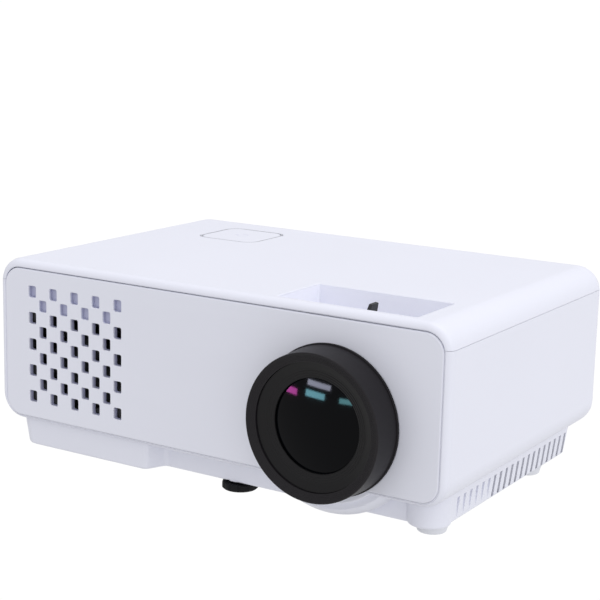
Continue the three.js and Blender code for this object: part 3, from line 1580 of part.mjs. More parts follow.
function mainsInlet() {
  const { x, z } = ports.inlet;
  const socket = roundedShape(inletSocketWidth, inletSocketHeight, inletSocketHeight / 2 - gap, x, z);
  const socketRearY = portFrontY - inletSocketDepth;
  const body = cut(portShellBlock(ports.inlet), plateY(socket, socketRearY, portFrontY + overrun,
    edgeSteps));
  const pins = [-1, 1].map((side) => rodY(
    x + side * inletPinPitch / 2, z, socketRearY - overrun, portFrontY - overrun, inletPinRadius,
    tinyTurn));
  return join(body, ...pins);
}

function infraredWindow() {
  return rodY(infraredX, portUpperZ, rearY - infraredLength, rearY, infraredRadius, smallTurn);
}

function powerBoard() {
  const boardTopZ = powerBoardZ + boardThickness;
  const board = blockAt(
    powerBoardX, powerBoardY, powerBoardZ + boardThickness / 2, powerBoardWidth, powerBoardDepth,
    boardThickness);
  const capacitor = rodZ(
    powerBoardX - powerBoardWidth / 4, powerBoardY, boardTopZ - gap, boardTopZ + capacitorHeight,
    capacitorRadius, smallTurn);
  const transformer = blockAt(
    powerBoardX + powerBoardWidth / 5, powerBoardY, boardTopZ + transformerHeight / 2 - gap / 2,
    transformerWidth, transformerWidth, transformerHeight + gap);
  return join(board, capacitor, transformer);
}

function speakerBox() {
  const bottomZ = caseBottomZ + wall + gap;
  const middleZ = bottomZ + speakerHeight / 2;
  const box = blockAt(speakerX, speakerY, middleZ, speakerWidth, speakerDepth, speakerHeight);
  const coneDepthX = speakerX + speakerWidth / 2;
  const cone = turnedY([
    [0, 0],
    [speakerConeRadius / 2, 0],
    [speakerConeRadius, speakerConeDepth],
    [speakerConeRadius, speakerConeDepth + overrun],
    [0, speakerConeDepth + overrun],
  ], 0, 0, smallTurn).rotate([0, 0, -90]).translate([coneDepthX - speakerConeDepth, speakerY, middleZ]);
  return cut(box, cone);
}

// Materials: colour, roughness, metalness
const materials = {
  shellWhite: ['#e9eaf3', 0.42, 0],
  panelWhite: ['#e2e3ec', 0.45, 0],
  keyGrey: ['#a9abb4', 0.5, 0],
  footGrey: ['#d8dadf', 0.8, 0],
  lensBlack: ['#2b2a2d', 0.42, 0],
  knobBlack: ['#1c1c1c', 0.6, 0],
  innerBlack: ['#202124', 0.7, 0],
  glass: ['#5a4a88', 0.05, 0.2],
  clearPlastic: ['#dfe8ee', 0.1, 0],
  mirror: ['#dfe3e6', 0.05, 1],
  board: ['#1f5c3a', 0.6, 0],
  aluminium: ['#b9bcc0', 0.4, 1],
  steel: ['#a2a4a8', 0.35, 1],
  brass: ['#b59a55', 0.35, 1],
};

const part = new THREE.Group();

function place(name, solid, finish) {
  const [color, roughness, metalness] = materials[finish];
  const mesh = new THREE.Mesh(toGeometry(solid), new THREE.MeshStandardMaterial({ color, roughness,
    metalness }));
  mesh.name = name;
  part.add(mesh);
}

place('top_cover', topCover(), 'shellWhite');
place('bottom_case', bottomCase(), 'shellWhite');
place('front_panel', frontPanel(), 'panelWhite');
place('rear_panel', rearPanel(), 'panelWhite');
place('power_key', powerKey(), 'shellWhite');
place('key_trim_ring', keyTrimRing(), 'keyGrey');
place('key_switch_board', keySwitchBoard(), 'board');
for (const [name, spot] of Object.entries(footSpots)) place(name, roundFoot(spot), 'footGrey');
for (const [name, spot] of Object.entries(screwSpots)) place(name, caseScrew(spot), 'steel');
place('foot_knob', footKnob(), 'knobBlack');
place('foot_pad', footPad(), 'knobBlack');
place('foot_nut', footNut(), 'brass');
place('tripod_nut', tripodNut(), 'brass');

place('lens_sleeve', lensSleeve(), 'innerBlack');
place('focus_ring', focusRing(), 'lensBlack');
place('lens_barrel', lensBarrel(), 'innerBlack');
place('retaining_ring', retainingRing(), 'lensBlack');
place('front_glass', frontGlass(), 'glass');
place('middle_glass', innerGlass(midGlassIn, midGlassEdge, midGlassDome), 'glass');
place('rear_glass', innerGlass(rearGlassIn, rearGlassEdge, rearGlassDome), 'glass');
place('lens_spacer', lensSpacer(), 'innerBlack');
place('rear_retainer', rearRetainer(), 'innerBlack');
place('keystone_lever', keystoneLever(), 'knobBlack');

place('optics_housing', opticsHousing(), 'innerBlack');
place('optics_lid', opticsLid(), 'innerBlack');
place('led_board', ledBoard(), 'aluminium');
place('led_heatsink', ledHeatsink(), 'aluminium');
place('condenser_lens', condenserLens(), 'clearPlastic');
place('fresnel_rear', fresnelRear(), 'clearPlastic');
place('lcd_gate', lcdGate(), 'innerBlack');
place('lcd_panel', lcdPanel(), 'glass');
place('fresnel_front', fresnelFront(), 'clearPlastic');
place('fold_mirror', foldMirror(), 'mirror');

place('intake_fan_frame', fanFrame(intakeX, intakeZ, intakeFrontY, intakeFrontY + fanThickness),
  'innerBlack');
place('intake_fan_rotor', fanRotor(intakeX, intakeZ, intakeFrontY, intakeFrontY + fanThickness),
  'innerBlack');
place('exhaust_fan_frame', fanFrame(exhaustX, exhaustZ, exhaustRearY - fanThickness, exhaustRearY),
  'innerBlack');
place('exhaust_fan_rotor', fanRotor(exhaustX, exhaustZ, exhaustRearY - fanThickness, exhaustRearY),
  'innerBlack');

place('main_board', mainBoard(), 'board');
place('power_board', powerBoard(), 'board');
place('hdmi_port', hdmiPort(), 'steel');
place('vga_port', vgaPort(), 'steel');
place('usb_port', usbPort(), 'steel');
place('card_slot', cardSlot(), 'steel');
place('audio_jack', audioJack(), 'innerBlack');
place('mains_inlet', mainsInlet(), 'innerBlack');
place('infrared_window', infraredWindow(), 'lensBlack');
place('speaker', speakerBox(), 'innerBlack');

export default part;
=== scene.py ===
# %% [markdown]
# # Dressing a portable projector
# The CAD model comes in as a fixed frame: every piece is already in its place and at its real size.
# This notebook gives the pieces that show a finer surface and gives every piece its finish.
# A CAD piece is never moved, and what is made here stays in the CAD model's box.

# %% Load the frame
import json
import math

import bmesh
import bpy
from mathutils import Matrix, Vector

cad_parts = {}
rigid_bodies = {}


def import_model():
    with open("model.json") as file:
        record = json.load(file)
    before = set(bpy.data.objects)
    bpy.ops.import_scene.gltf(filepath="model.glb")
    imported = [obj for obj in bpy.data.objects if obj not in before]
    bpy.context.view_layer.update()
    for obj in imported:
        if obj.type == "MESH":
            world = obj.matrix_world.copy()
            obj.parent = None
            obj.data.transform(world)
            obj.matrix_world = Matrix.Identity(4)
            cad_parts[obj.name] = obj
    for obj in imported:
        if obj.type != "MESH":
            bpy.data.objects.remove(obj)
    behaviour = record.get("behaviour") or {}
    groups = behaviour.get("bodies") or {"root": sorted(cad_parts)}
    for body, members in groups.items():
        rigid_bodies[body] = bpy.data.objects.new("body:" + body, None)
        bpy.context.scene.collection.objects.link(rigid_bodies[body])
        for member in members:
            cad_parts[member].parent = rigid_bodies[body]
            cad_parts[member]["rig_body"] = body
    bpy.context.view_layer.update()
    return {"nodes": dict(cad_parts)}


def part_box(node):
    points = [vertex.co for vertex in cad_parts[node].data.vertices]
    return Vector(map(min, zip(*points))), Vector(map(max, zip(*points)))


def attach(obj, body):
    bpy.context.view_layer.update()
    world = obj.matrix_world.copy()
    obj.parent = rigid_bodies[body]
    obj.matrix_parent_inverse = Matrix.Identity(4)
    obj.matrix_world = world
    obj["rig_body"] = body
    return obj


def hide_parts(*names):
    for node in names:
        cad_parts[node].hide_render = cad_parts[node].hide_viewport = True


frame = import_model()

print("pieces in the frame:", len(frame["nodes"]))

# %% [markdown]
# ## The camera
# The camera was fitted to the straight edges of the case in the photograph. The fit gave where it stands,
# the point that it looks at, a small roll and the focal length. A camera's own axes are right, up and back,
# so a matrix with those three as its columns places it without any rotation angles.

# %% Place the camera
LOOK_AT = Vector((-0.0016, 0.00571, 0.06492))
AZIMUTH = math.radians(31.93)
ELEVATION = math.radians(11.93)
ROLL = math.radians(1.37)
DISTANCE = 0.6157
FOCAL_LENGTH = 92.26
SENSOR = 36.0

back = Vector((
    math.sin(AZIMUTH) * math.cos(ELEVATION), -math.cos(AZIMUTH) * math.cos(ELEVATION), math.sin(ELEVATION)))
level_right = (-back).cross(Vector((0, 0, 1))).normalized()
level_up = level_right.cross(-back)
right = level_right * math.cos(ROLL) + level_up * math.sin(ROLL)
up = level_up * math.cos(ROLL) - level_right * math.sin(ROLL)

camera_data = bpy.data.cameras.new("photo_camera")
camera_data.lens = FOCAL_LENGTH
camera_data.sensor_width = SENSOR
camera_data.sensor_fit = "HORIZONTAL"
camera = bpy.data.objects.new("photo_camera", camera_data)
bpy.context.scene.collection.objects.link(camera)
turn = Matrix((right, up, back)).transposed().to_4x4()
camera.matrix_world = Matrix.Translation(LOOK_AT + back * DISTANCE) @ turn
bpy.context.scene.camera = camera
print("camera stands at", [round(v, 3) for v in camera.matrix_world.translation])

# %% [markdown]
# ## The studio
# The photograph is a cut-out on pure white, lit very evenly: the top is the brightest face, the right side a
# little darker and bluer, the front darker still. The world gives that light by itself. Its brightness is a
# middle value plus the dot product of the direction with a gradient vector, so each face gets its own level. Two
# weak panels of light add soft highlights.

# %% Light the studio
LIGHT_LEVEL = 0.83
LIGHT_GRADIENT = (0.235, -0.10, 0.315)
LIGHT_FLOOR = 0.25
LIGHT_COLOUR = (0.98, 0.985, 1.0, 1.0)

world = bpy.data.worlds.new("studio")
bpy.context.scene.world = world
world.use_nodes = True
nodes, links = world.node_tree.nodes, world.node_tree.links
direction = nodes.new("ShaderNodeTexCoord")
slope = nodes.new("ShaderNodeVectorMath")
slope.operation = "DOT_PRODUCT"
slope.inputs[1].default_value = LIGHT_GRADIENT
level = nodes.new("ShaderNodeMath")
level.operation = "ADD"
level.inputs[1].default_value = LIGHT_LEVEL
lowest = nodes.new("ShaderNodeMath")
lowest.operation = "MAXIMUM"
lowest.inputs[1].default_value = LIGHT_FLOOR
links.new(direction.outputs["Generated"], slope.inputs[0])
links.new(slope.outputs["Value"], level.inputs[0])
links.new(level.outputs["Value"], lowest.inputs[0])
links.new(lowest.outputs["Value"], nodes["Background"].inputs["Strength"])
nodes["Background"].inputs["Color"].default_value = LIGHT_COLOUR
bpy.context.scene.view_settings.view_transform = "Standard"


def light_panel(name, place, target, width, height, power, colour=(1.0, 1.0, 1.0)):
    """A soft rectangular light at a place, turned towards a target."""
    data = bpy.data.lights.new(name, "AREA")
    data.shape = "RECTANGLE"
    data.size = width
    data.size_y = height
    data.energy = power
    data.color = colour
    panel = bpy.data.objects.new(name, data)
    panel.location = place
    panel.rotation_euler = (Vector(target) - Vector(place)).to_track_quat("-Z", "Y").to_euler()
    bpy.context.scene.collection.objects.link(panel)
    return panel


MIDDLE = (0.0, 0.0, 0.04)
light_panel("overhead", (0.1, -0.1, 1.0), MIDDLE, 0.5, 0.35, 1.3)
light_panel("right_side", (1.0, -0.15, 0.4), MIDDLE, 0.4, 0.5, 0.7, (0.94, 0.97, 1.0))

# %% [markdown]
# ## The floor
# The photograph was cut out, so its ground is plain white without a shadow. A plane that only glows gives just
# that. It can only be seen from above, so the views from below show the underside of the projector.

# %% Lay the floor
FLOOR_REACH = 40.0
FLOOR_GLOW = 1.02
floor_mesh = bpy.data.meshes.new("floor")
floor_corners = [(x * FLOOR_REACH, y * FLOOR_REACH, 0) for x, y in ((-1, -1), (1, -1), (1, 1), (-1, 1))]
floor_mesh.from_pydata(floor_corners, [], [(0, 1, 2, 3)])
floor = bpy.data.objects.new("floor", floor_mesh)
bpy.context.scene.collection.objects.link(floor)
floor_finish = bpy.data.materials.new("studio_floor")
floor_finish.use_nodes = True
floor_tree = floor_finish.node_tree
floor_shader = floor_tree.nodes["Principled BSDF"]
floor_shader.inputs["Base Color"].default_value = (0.0, 0.0, 0.0, 1.0)
floor_shader.inputs["Roughness"].default_value = 1.0
floor_shader.inputs["Specular IOR Level"].default_value = 0.0
floor_shader.inputs["Emission Color"].default_value = (1.0, 1.0, 1.0, 1.0)
floor_shader.inputs["Emission Strength"].default_value = FLOOR_GLOW
side_seen = floor_tree.nodes.new("ShaderNodeNewGeometry")
see_through = floor_tree.nodes.new("ShaderNodeBsdfTransparent")
either = floor_tree.nodes.new("ShaderNodeMixShader")
floor_tree.links.new(side_seen.outputs["Backfacing"], either.inputs[0])
floor_tree.links.new(floor_shader.outputs[0], either.inputs[1])
floor_tree.links.new(see_through.outputs[0], either.inputs[2])
floor_tree.links.new(either.outputs[0], floor_tree.nodes["Material Output"].inputs["Surface"])
floor_mesh.materials.append(floor_finish)
floor.visible_diffuse = False
print("floor laid")

# %% [markdown]
# ## Working in millimetres
# Moulded plastic has radii of half a millimetre, which are small numbers in metres. The pieces are therefore
# built in millimetres, where cuts stay exact, and are shrunk to metres when they are put in the frame.

# %% Read sizes from the frame in millimetres
MM = 0.001


def node_box(node):
    """A CAD piece's lowest and highest corner in millimetres."""
    low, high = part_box(node)
    return low / MM, high / MM


def seen_from_above(node):
    """The middle of a CAD piece as seen from above."""
    low, high = node_box(node)
    return (low.x + high.x) / 2, (low.y + high.y) / 2


def seen_from_behind(node):
    """The middle of a CAD piece as seen from behind, and its width and height."""
    low, high = node_box(node)
    return (low.x + high.x) / 2, (low.z + high.z) / 2, high.x - low.x, high.z - low.z


cover_low, cover_high = node_box("top_cover")
panel_low, panel_high = node_box("front_panel")
rear_low, rear_high = node_box("rear_panel")
FRONT = cover_low.y
REAR = cover_high.y
TOP = cover_high.z
HALF_WIDTH = node_box("bottom_case")[1].x
LENS_X, LENS_Z, *_ = seen_from_behind("focus_ring")
LENS_AXIS = (LENS_X, 0.0, LENS_Z)
print("case", round(2 * HALF_WIDTH, 1), "wide,", round(REAR - FRONT, 1), "deep")
print("lens at", round(LENS_X, 1), round(LENS_Z, 1))

# %% [markdown]
# ## Helpers for making forms
# Three ways of making a form cover nearly everything here. A stack of rings makes the rounded case, a turned
# profile makes all that is round about an axis, and a flat outline given a thickness makes the rest.

# %% Make mesh objects
def scratch(name, form):
    """A mesh object in millimetres, not yet in the frame."""
    bmesh.ops.recalc_face_normals(form, faces=form.faces)
    mesh = bpy.data.meshes.new(name)
    form.to_mesh(mesh)
    form.free()
    piece = bpy.data.objects.new(name, mesh)
    bpy.context.scene.collection.objects.link(piece)
    return piece


def stacked(name, rings, closed=False):
    """A form through rings with equal counts of points. A closed one joins its last ring to its first."""
    form = bmesh.new()
    loops = [[form.verts.new(point) for point in ring] for ring in rings]
    pairs = list(zip(loops, loops[1:]))
    if closed:
        pairs.append((loops[-1], loops[0]))
    for one, other in pairs:
        for i in range(len(one)):
            j = (i + 1) % len(one)
            form.faces.new((one[i], one[j], other[j], other[i]))
    if not closed:
        form.faces.new(loops[0])
        form.faces.new(loops[-1])
    return scratch(name, form)


def turned(name, profile, centre, axis="Y", steps=128):
    """A closed profile of (radius, height) points turned about the Y or Z axis through a centre."""
    form = bmesh.new()
    loops = []
    for radius, height in profile:
        if radius == 0:
            points = [(0.0, 0.0, height)]
        else:
            angles = [2 * math.pi * i / steps for i in range(steps)]
            points = [(radius * math.cos(a), radius * math.sin(a), height) for a in angles]
        loops.append([form.verts.new(point) for point in points])
    on_axis = profile[0][0] == 0 and profile[-1][0] == 0
    pairs = list(zip(loops, loops[1:])) + ([] if on_axis else [(loops[-1], loops[0])])
    for one, other in pairs:
        for i in range(steps):
            j = (i + 1) % steps
            corners = [one[i % len(one)], one[j % len(one)], other[j % len(other)], other[i % len(other)]]
            unique = list(dict.fromkeys(corners))
            if len(unique) > 2:
                form.faces.new(unique)
    spin = Matrix.Rotation(math.radians(-90), 4, "X") if axis == "Y" else Matrix.Identity(4)
    form.transform(Matrix.Translation(centre) @ spin)
    return scratch(name, form)


def prism(name, outline, start, end, facing="Z"):
    """A flat outline given a thickness along one axis. The outline is drawn in the other two axes, in order."""
    def point(across, along, depth):
        return {"X": (depth, across, along), "Y": (across, depth, along), "Z": (across, along, depth)}[facing]
    return stacked(name, [[point(a, b, depth) for a, b in outline] for depth in (start, end)])


print("form helpers ready")

# %% [markdown]
# ## The case as a stack of rings
# The case is a rounded rectangle drawn along the lens axis. Its front edge has a small radius, its rear edge a
# large one. One closed stack of rings runs over the outside, into the rear pocket, back along the inner wall and
# out through the front pocket, so the walls have their true thickness.

# %% Draw the case's rings
CORNER_POINTS = 14
EDGE_STEPS = 7
CASE_CORNER = 10.0
FRONT_EDGE = 3.0
REAR_EDGE = 8.0
WALL = 2.2
GAP = 0.3
SEAM_GAP = 0.14
CASE_BOTTOM = TOP - 65.0
BASE_BOTTOM = CASE_BOTTOM - 11.4
SEAM = TOP - 9.0
MIDDLE_Z = (TOP + CASE_BOTTOM) / 2
CASE_HEIGHT = TOP - CASE_BOTTOM


def rounded_rectangle(width, height, radius, centre=(0.0, 0.0), steps=CORNER_POINTS):
    """Points round a rounded rectangle, the same count for every size."""
    points = []
    for quarter, (sx, sy) in enumerate(((1, 1), (-1, 1), (-1, -1), (1, -1))):
        for i in range(steps + 1):
            angle = (quarter + i / steps) * math.pi / 2
            points.append((
                centre[0] + sx * (width / 2 - radius) + radius * math.cos(angle),
                centre[1] + sy * (height / 2 - radius) + radius * math.sin(angle)))
    return points


def lying(width, depth, radius, centre, z):
    """A rounded rectangle lying flat at height z."""
    return [(x, y, z) for x, y in rounded_rectangle(width, depth, radius, centre)]


def standing(width, height, radius, centre, y, steps=CORNER_POINTS):
    """A rounded rectangle standing across the lens axis at y."""
    return [(x, y, z) for x, z in rounded_rectangle(width, height, radius, centre, steps)]


def section(width, height, radius, y, middle=MIDDLE_Z):
    """A rounded rectangle standing across the lens axis at y, in the middle of the case's width."""
    return standing(width, height, radius, (0.0, middle), y)


def rounding(radius, steps=EDGE_STEPS):
    """Pairs of offsets along a quarter circle, falling in the first and growing in the second."""
    turns = [i / steps * math.pi / 2 for i in range(steps + 1)]
    return [(radius * (1 - math.sin(a)), radius * (1 - math.cos(a))) for a in turns]


def case_section(inset, y):
    """The case's outline, drawn in by an inset, at y."""
    return section(2 * (HALF_WIDTH - inset), CASE_HEIGHT - 2 * inset, CASE_CORNER - inset, y)


def outline_inset(x, z):
    """How far a point lies inside the case's outline."""
    dx = abs(x) - (HALF_WIDTH - CASE_CORNER)
    dz = abs(z - MIDDLE_Z) - (CASE_HEIGHT / 2 - CASE_CORNER)
    if dx > 0 and dz > 0:
        return CASE_CORNER - math.hypot(dx, dz)
    return CASE_CORNER - max(dx, dz)


def front_depth(inset):
    """How far the rounded front edge lies behind the front at an inset."""
    if inset >= FRONT_EDGE:
        return 0.0
    return FRONT_EDGE - math.sqrt(FRONT_EDGE ** 2 - (FRONT_EDGE - inset) ** 2)


def panel_section(margin, y):
    """The front panel's outline, grown by a margin, at y."""
    width = panel_high.x - panel_low.x + 2 * margin
    height = panel_high.z - panel_low.z + 2 * margin
    return section(width, height, PANEL_CORNER + margin, y, (panel_high.z + panel_low.z) / 2)


def groove_depth(z):
    """The groove round the panel is shallow, except along the top, where it deepens smoothly."""
    rise = min(max((z - panel_high.z + PANEL_CORNER) / PANEL_CORNER, 0.0), 1.0)
    return 0.45 + 1.6 * rise ** 2


PANEL_CORNER = 7.2
RIM_SOFTNESS = 0.3
LEDGE_GAP = 0.05
pocket_y = panel_high.y + GAP
rear_pocket_y = rear_low.y - GAP
inner_front = FRONT + 5.0
inner_rear = REAR - 5.0
rear_middle = (rear_low.z + rear_high.z) / 2
rear_width = rear_high.x - rear_low.x
rear_height = rear_high.z - rear_low.z

print("panel pocket ends at", round(pocket_y, 1), "rear pocket starts at", round(rear_pocket_y, 1))

# %% [markdown]
# ## Stacking the rings
# The front edge has to lead from the case's outline to the panel's rim, which has another shape. Each ring there
# is a blend of the two, and its depth follows from how far each point lies inside the outline.

# %% Stack the case's rings
LEDGE, POCKET_CORNER, REAR_LEDGE = 2.6, 4.3, 1.6
outer = case_section(0.0, 0.0)
rim = panel_section(GAP, FRONT)


def front_ring(share, behind):
    """A ring on the rounded front edge, a share of the way from the outline to the panel's rim."""
    ring = []
    for (rx, _, rz), (ox, _, oz) in zip(rim, outer):
        part = share(math.hypot(rx - ox, rz - oz))
        x, z = ox + (rx - ox) * part, oz + (rz - oz) * part
        ring.append((x, FRONT + front_depth(max(outline_inset(x, z), 0.0)) + behind, z))
    return ring


case_rings = []
for step in range(EDGE_STEPS + 1):
    if step == 1:
        case_rings.append(front_ring(lambda reach: 1 - RIM_SOFTNESS / reach, 0.02))
    share = 1 - step / EDGE_STEPS
    case_rings.append(front_ring(lambda reach: share, RIM_SOFTNESS if step == 0 else 0.0))
for inset, before in reversed(rounding(REAR_EDGE)):
    case_rings.append(case_section(inset, REAR - before))
case_rings += [
    section(rear_width + 2 * GAP, rear_height + 2 * GAP, POCKET_CORNER, REAR, rear_middle),
    section(rear_width + 2 * GAP, rear_height + 2 * GAP, POCKET_CORNER, rear_pocket_y, rear_middle),
    section(rear_width - 2 * LEDGE, rear_height - 2 * LEDGE, POCKET_CORNER - REAR_LEDGE, rear_pocket_y, rear_middle),
    section(rear_width - 2 * LEDGE, rear_height - 2 * LEDGE, POCKET_CORNER - REAR_LEDGE, inner_rear, rear_middle),
    case_section(WALL, inner_rear),
    case_section(WALL, inner_front),
    panel_section(-LEDGE, inner_front),
    panel_section(-LEDGE, pocket_y),
    panel_section(LEDGE_GAP, pocket_y),
    [(x, FRONT + groove_depth(z), z) for x, _, z in panel_section(LEDGE_GAP, FRONT)],
    [(x, FRONT + groove_depth(z), z) for x, _, z in panel_section(GAP, FRONT)],
]
print("case rings:", len(case_rings), "of", len(outer), "points")

# %% [markdown]
# ## Cutting the case into cover and bottom
# The closed stack is one thin-walled tube. It is cut at the seam into the top cover and the bottom case. Each cut
# is a boolean with a plain block, done exactly, and its result is kept as an ordinary mesh.

# %% Boolean helpers and the two halves of the case
def block(name, low, high):
    """A plain block between two corners, used only as a cutter."""
    form = bmesh.new()
    bmesh.ops.create_cube(form, size=1.0)
    size = Vector(high) - Vector(low)
    for vert in form.verts:
        share = vert.co + Vector((0.5, 0.5, 0.5))
        vert.co = Vector(low) + Vector((share.x * size.x, share.y * size.y, share.z * size.z))
    return scratch(name, form)


def joined(name, pieces):
    """Several pieces' meshes as one object. The pieces are used up."""
    form = bmesh.new()
    for piece in pieces:
        form.from_mesh(piece.data)
        drop(piece)
    mesh = bpy.data.meshes.new(name)
    form.to_mesh(mesh)
    form.free()
    whole = bpy.data.objects.new(name, mesh)
    bpy.context.scene.collection.objects.link(whole)
    return whole


def drop(piece):
    """Remove a scratch object with its mesh."""
    mesh = piece.data
    bpy.data.objects.remove(piece)
    if mesh.users == 0:
        bpy.data.meshes.remove(mesh)


def combined(piece, tool, operation):
    """Apply an exact boolean to a piece and keep its result as a mesh. The tool is used up."""
    change = piece.modifiers.new("boolean", "BOOLEAN")
    change.operation = operation
    change.solver = "EXACT"
    change.object = tool
    evaluated = piece.evaluated_get(bpy.context.evaluated_depsgraph_get())
    result = bpy.data.meshes.new_from_object(evaluated)
    old = piece.data
    piece.modifiers.clear()
    piece.data = result
    bpy.data.meshes.remove(old)
    drop(tool)
    return piece


def cut(piece, tool):
    """Take a tool's form out of a piece."""
    return combined(piece, tool, "DIFFERENCE")


FAR = 200.0
shell = stacked("case_shell", case_rings, closed=True)
cover_shell = shell.copy()
cover_shell.data = shell.data.copy()
cover_shell.name = "cover_shell"
bpy.context.scene.collection.objects.link(cover_shell)
combined(cover_shell, block("above", (-FAR, -FAR, SEAM + SEAM_GAP / 2), (FAR, FAR, FAR)), "INTERSECT")
combined(shell, block("below", (-FAR, -FAR, -FAR), (FAR, FAR, SEAM - SEAM_GAP / 2)), "INTERSECT")
print("cover faces:", len(cover_shell.data.polygons), "bottom faces:", len(shell.data.polygons))

# %% [markdown]
# ## Finger recess, key hole and lever slot
# The recess in the top is a thin tub let into the cover. Its mouth gets a small rounded lip, made by letting the
# cutter widen over its last half millimetre. The key hole gets the same lip.

# %% Cut the top cover
MOUTH_STEPS = 5


def upright_cutter(name, width, depth, radius, centre, floor_z, lip):
    """A cutter standing in the top face, flared at the mouth into a rounded lip."""
    rings = [lying(width, depth, radius, centre, floor_z)]
    for i in range(MOUTH_STEPS + 1):
        angle = i / MOUTH_STEPS * math.pi / 2
        extra = lip * (1 - math.cos(angle))
        z = TOP - lip + lip * math.sin(angle)
        rings.append(lying(width + 2 * extra, depth + 2 * extra, radius + extra, centre, z))
    rings.append([(x, y, TOP + 1.0) for x, y, _ in rings[-1]])
    return stacked(name, rings)


RECESS_LEFT, RECESS_WIDTH, RECESS_LENGTH, RECESS_DEPTH = 28.4, 56.0, 28.2, 11.0
RECESS_FRONT = FRONT + 4.0
RECESS_WALL = 1.6
recess_centre = (RECESS_LEFT + RECESS_WIDTH / 2, RECESS_FRONT + RECESS_LENGTH / 2)
tub = stacked("tub", [
    lying(RECESS_WIDTH + 2 * RECESS_WALL, RECESS_LENGTH + 2 * RECESS_WALL, 2.6, recess_centre, z)
    for z in (TOP - RECESS_DEPTH - RECESS_WALL, TOP - WALL / 2)])
combined(cover_shell, tub, "UNION")
cut(cover_shell, upright_cutter(
    "recess", RECESS_WIDTH, RECESS_LENGTH, 1.0, recess_centre, TOP - RECESS_DEPTH, 0.5))

key_centre = seen_from_above("power_key")
cut(cover_shell, upright_cutter("key_hole", 29.5, 29.5, 6.2, key_centre, TOP - 4.0, 0.15))

LEVER_LEAN, SWING_LEFT, SWING_RIGHT = 8.5, 16, 6
SLOT_ROOM, SLOT_FRONT, SLOT_REAR = 1.5, -49.3, -40.7
recess_floor = TOP - RECESS_DEPTH
lever_reach = recess_floor - LENS_Z
slot_left = LENS_X + lever_reach * math.tan(math.radians(LEVER_LEAN - SWING_LEFT)) - SLOT_ROOM
slot_right = LENS_X + lever_reach * math.tan(math.radians(LEVER_LEAN + SWING_RIGHT)) + SLOT_ROOM
slot = block("lever_slot", (slot_left, SLOT_FRONT, recess_floor - 3), (slot_right, SLOT_REAR, recess_floor + 1))
cut(cover_shell, slot)
print("cover faces:", len(cover_shell.data.polygons))

# %% [markdown]
# ## The pedestal base
# The base is drawn as a polygon with rounded corners and a step at the left of the screw foot. Its sides lean in
# a little towards the ground. It is hollow, and open slots run along both sides behind six blind ones.

# %% Draw the base
def rounded_polygon(corners, steps=8):
    """Points round a polygon, each corner rounded by its own radius."""
    points = []
    count = len(corners)
    for i, (x, y, radius) in enumerate(corners):
        here = Vector((x, y))
        back_way = (Vector(corners[i - 1][:2]) - here).normalized()
        next_way = (Vector(corners[(i + 1) % count][:2]) - here).normalized()
        half = math.acos(max(-1.0, min(1.0, back_way.dot(next_way)))) / 2
        middle = here + (back_way + next_way).normalized() * (radius / math.sin(half))
        first = here + back_way * (radius / math.tan(half)) - middle
        last = here + next_way * (radius / math.tan(half)) - middle
        sweep = math.atan2(first.x * last.y - first.y * last.x, first.dot(last))
        for step in range(steps + 1):
            sine, cosine = math.sin(sweep * step / steps), math.cos(sweep * step / steps)
            spun = Vector((first.x * cosine - first.y * sine, first.x * sine + first.y * cosine))
            points.append(tuple(middle + spun))
    return points


BASE_HALF = 93.7
BASE_TAPER = 1.4
BASE_EDGE = 1.2
BASE_CORNER, STEP_CORNER = 6.0, 2.5
STEP_X, STEP_SLANT = -29.0, 3.5
base_front = FRONT + 3.2
base_middle = base_front + 8.4
base_rear = REAR - 10.0


def base_ring(inset, z):
    """The base's outline, drawn in by an inset, at height z."""
    half = BASE_HALF - inset
    corner = BASE_CORNER - inset / 2
    outline = rounded_polygon([
        (-half, base_rear - inset, corner), (-half, base_front + inset, corner),
        (STEP_X - inset, base_front + inset, STEP_CORNER),
        (STEP_X + STEP_SLANT - inset, base_middle + inset, STEP_CORNER),
        (half, base_middle + inset, corner), (half, base_rear - inset, corner)])
    return [(x, y, z) for x, y in outline]


base_rings = []
for inset, rise in rounding(BASE_EDGE):
    base_rings.append(base_ring(BASE_TAPER + inset, BASE_BOTTOM + rise))
base_rings += [
    base_ring(0.0, CASE_BOTTOM + WALL / 2), base_ring(WALL, CASE_BOTTOM + WALL / 2),
    base_ring(BASE_TAPER + WALL, BASE_BOTTOM + WALL)]
base = stacked("base", base_rings)
print("base rings:", len(base_rings))

# %% [markdown]
# ## Slots in the base
# Cooling air passes through upright slots along both sides. An array modifier could repeat one slot, but blocks
# made in a loop let the front six stay shallow. The blocks are joined first, so that one boolean cuts them all.

# %% Cut the slots of the base
SLOT_COUNT, OPEN_SLOTS, SLOT_PITCH = 21, 15, 5.03
SLOT_THROUGH, SLOT_BLIND, SLOT_HALF = 4.5, 0.7, 0.95
SLOT_BOTTOM, SLOT_TOP = BASE_BOTTOM + 0.8, BASE_BOTTOM + 9.4
slot_tools = []
for i in range(SLOT_COUNT):
    y = base_rear - 2.3 - i * SLOT_PITCH
    depth = SLOT_THROUGH if i < OPEN_SLOTS else SLOT_BLIND
    for side in (-1, 1):
        near, far = sorted((side * (BASE_HALF - BASE_TAPER / 2 - depth), side * HALF_WIDTH))
        slot_tools.append(block("slot", (near, y - SLOT_HALF, SLOT_BOTTOM), (far, y + SLOT_HALF, SLOT_TOP)))
cut(base, joined("slots", slot_tools))
print("base faces:", len(base.data.polygons))

# %% [markdown]
# ## Corner post, chin and screw boss
# These three stand under the case. The post rounds off the base's front corner, the chin follows the lens in two
# thin steps, and the boss holds the screw foot's thread. Their lower faces lie just above the base's.

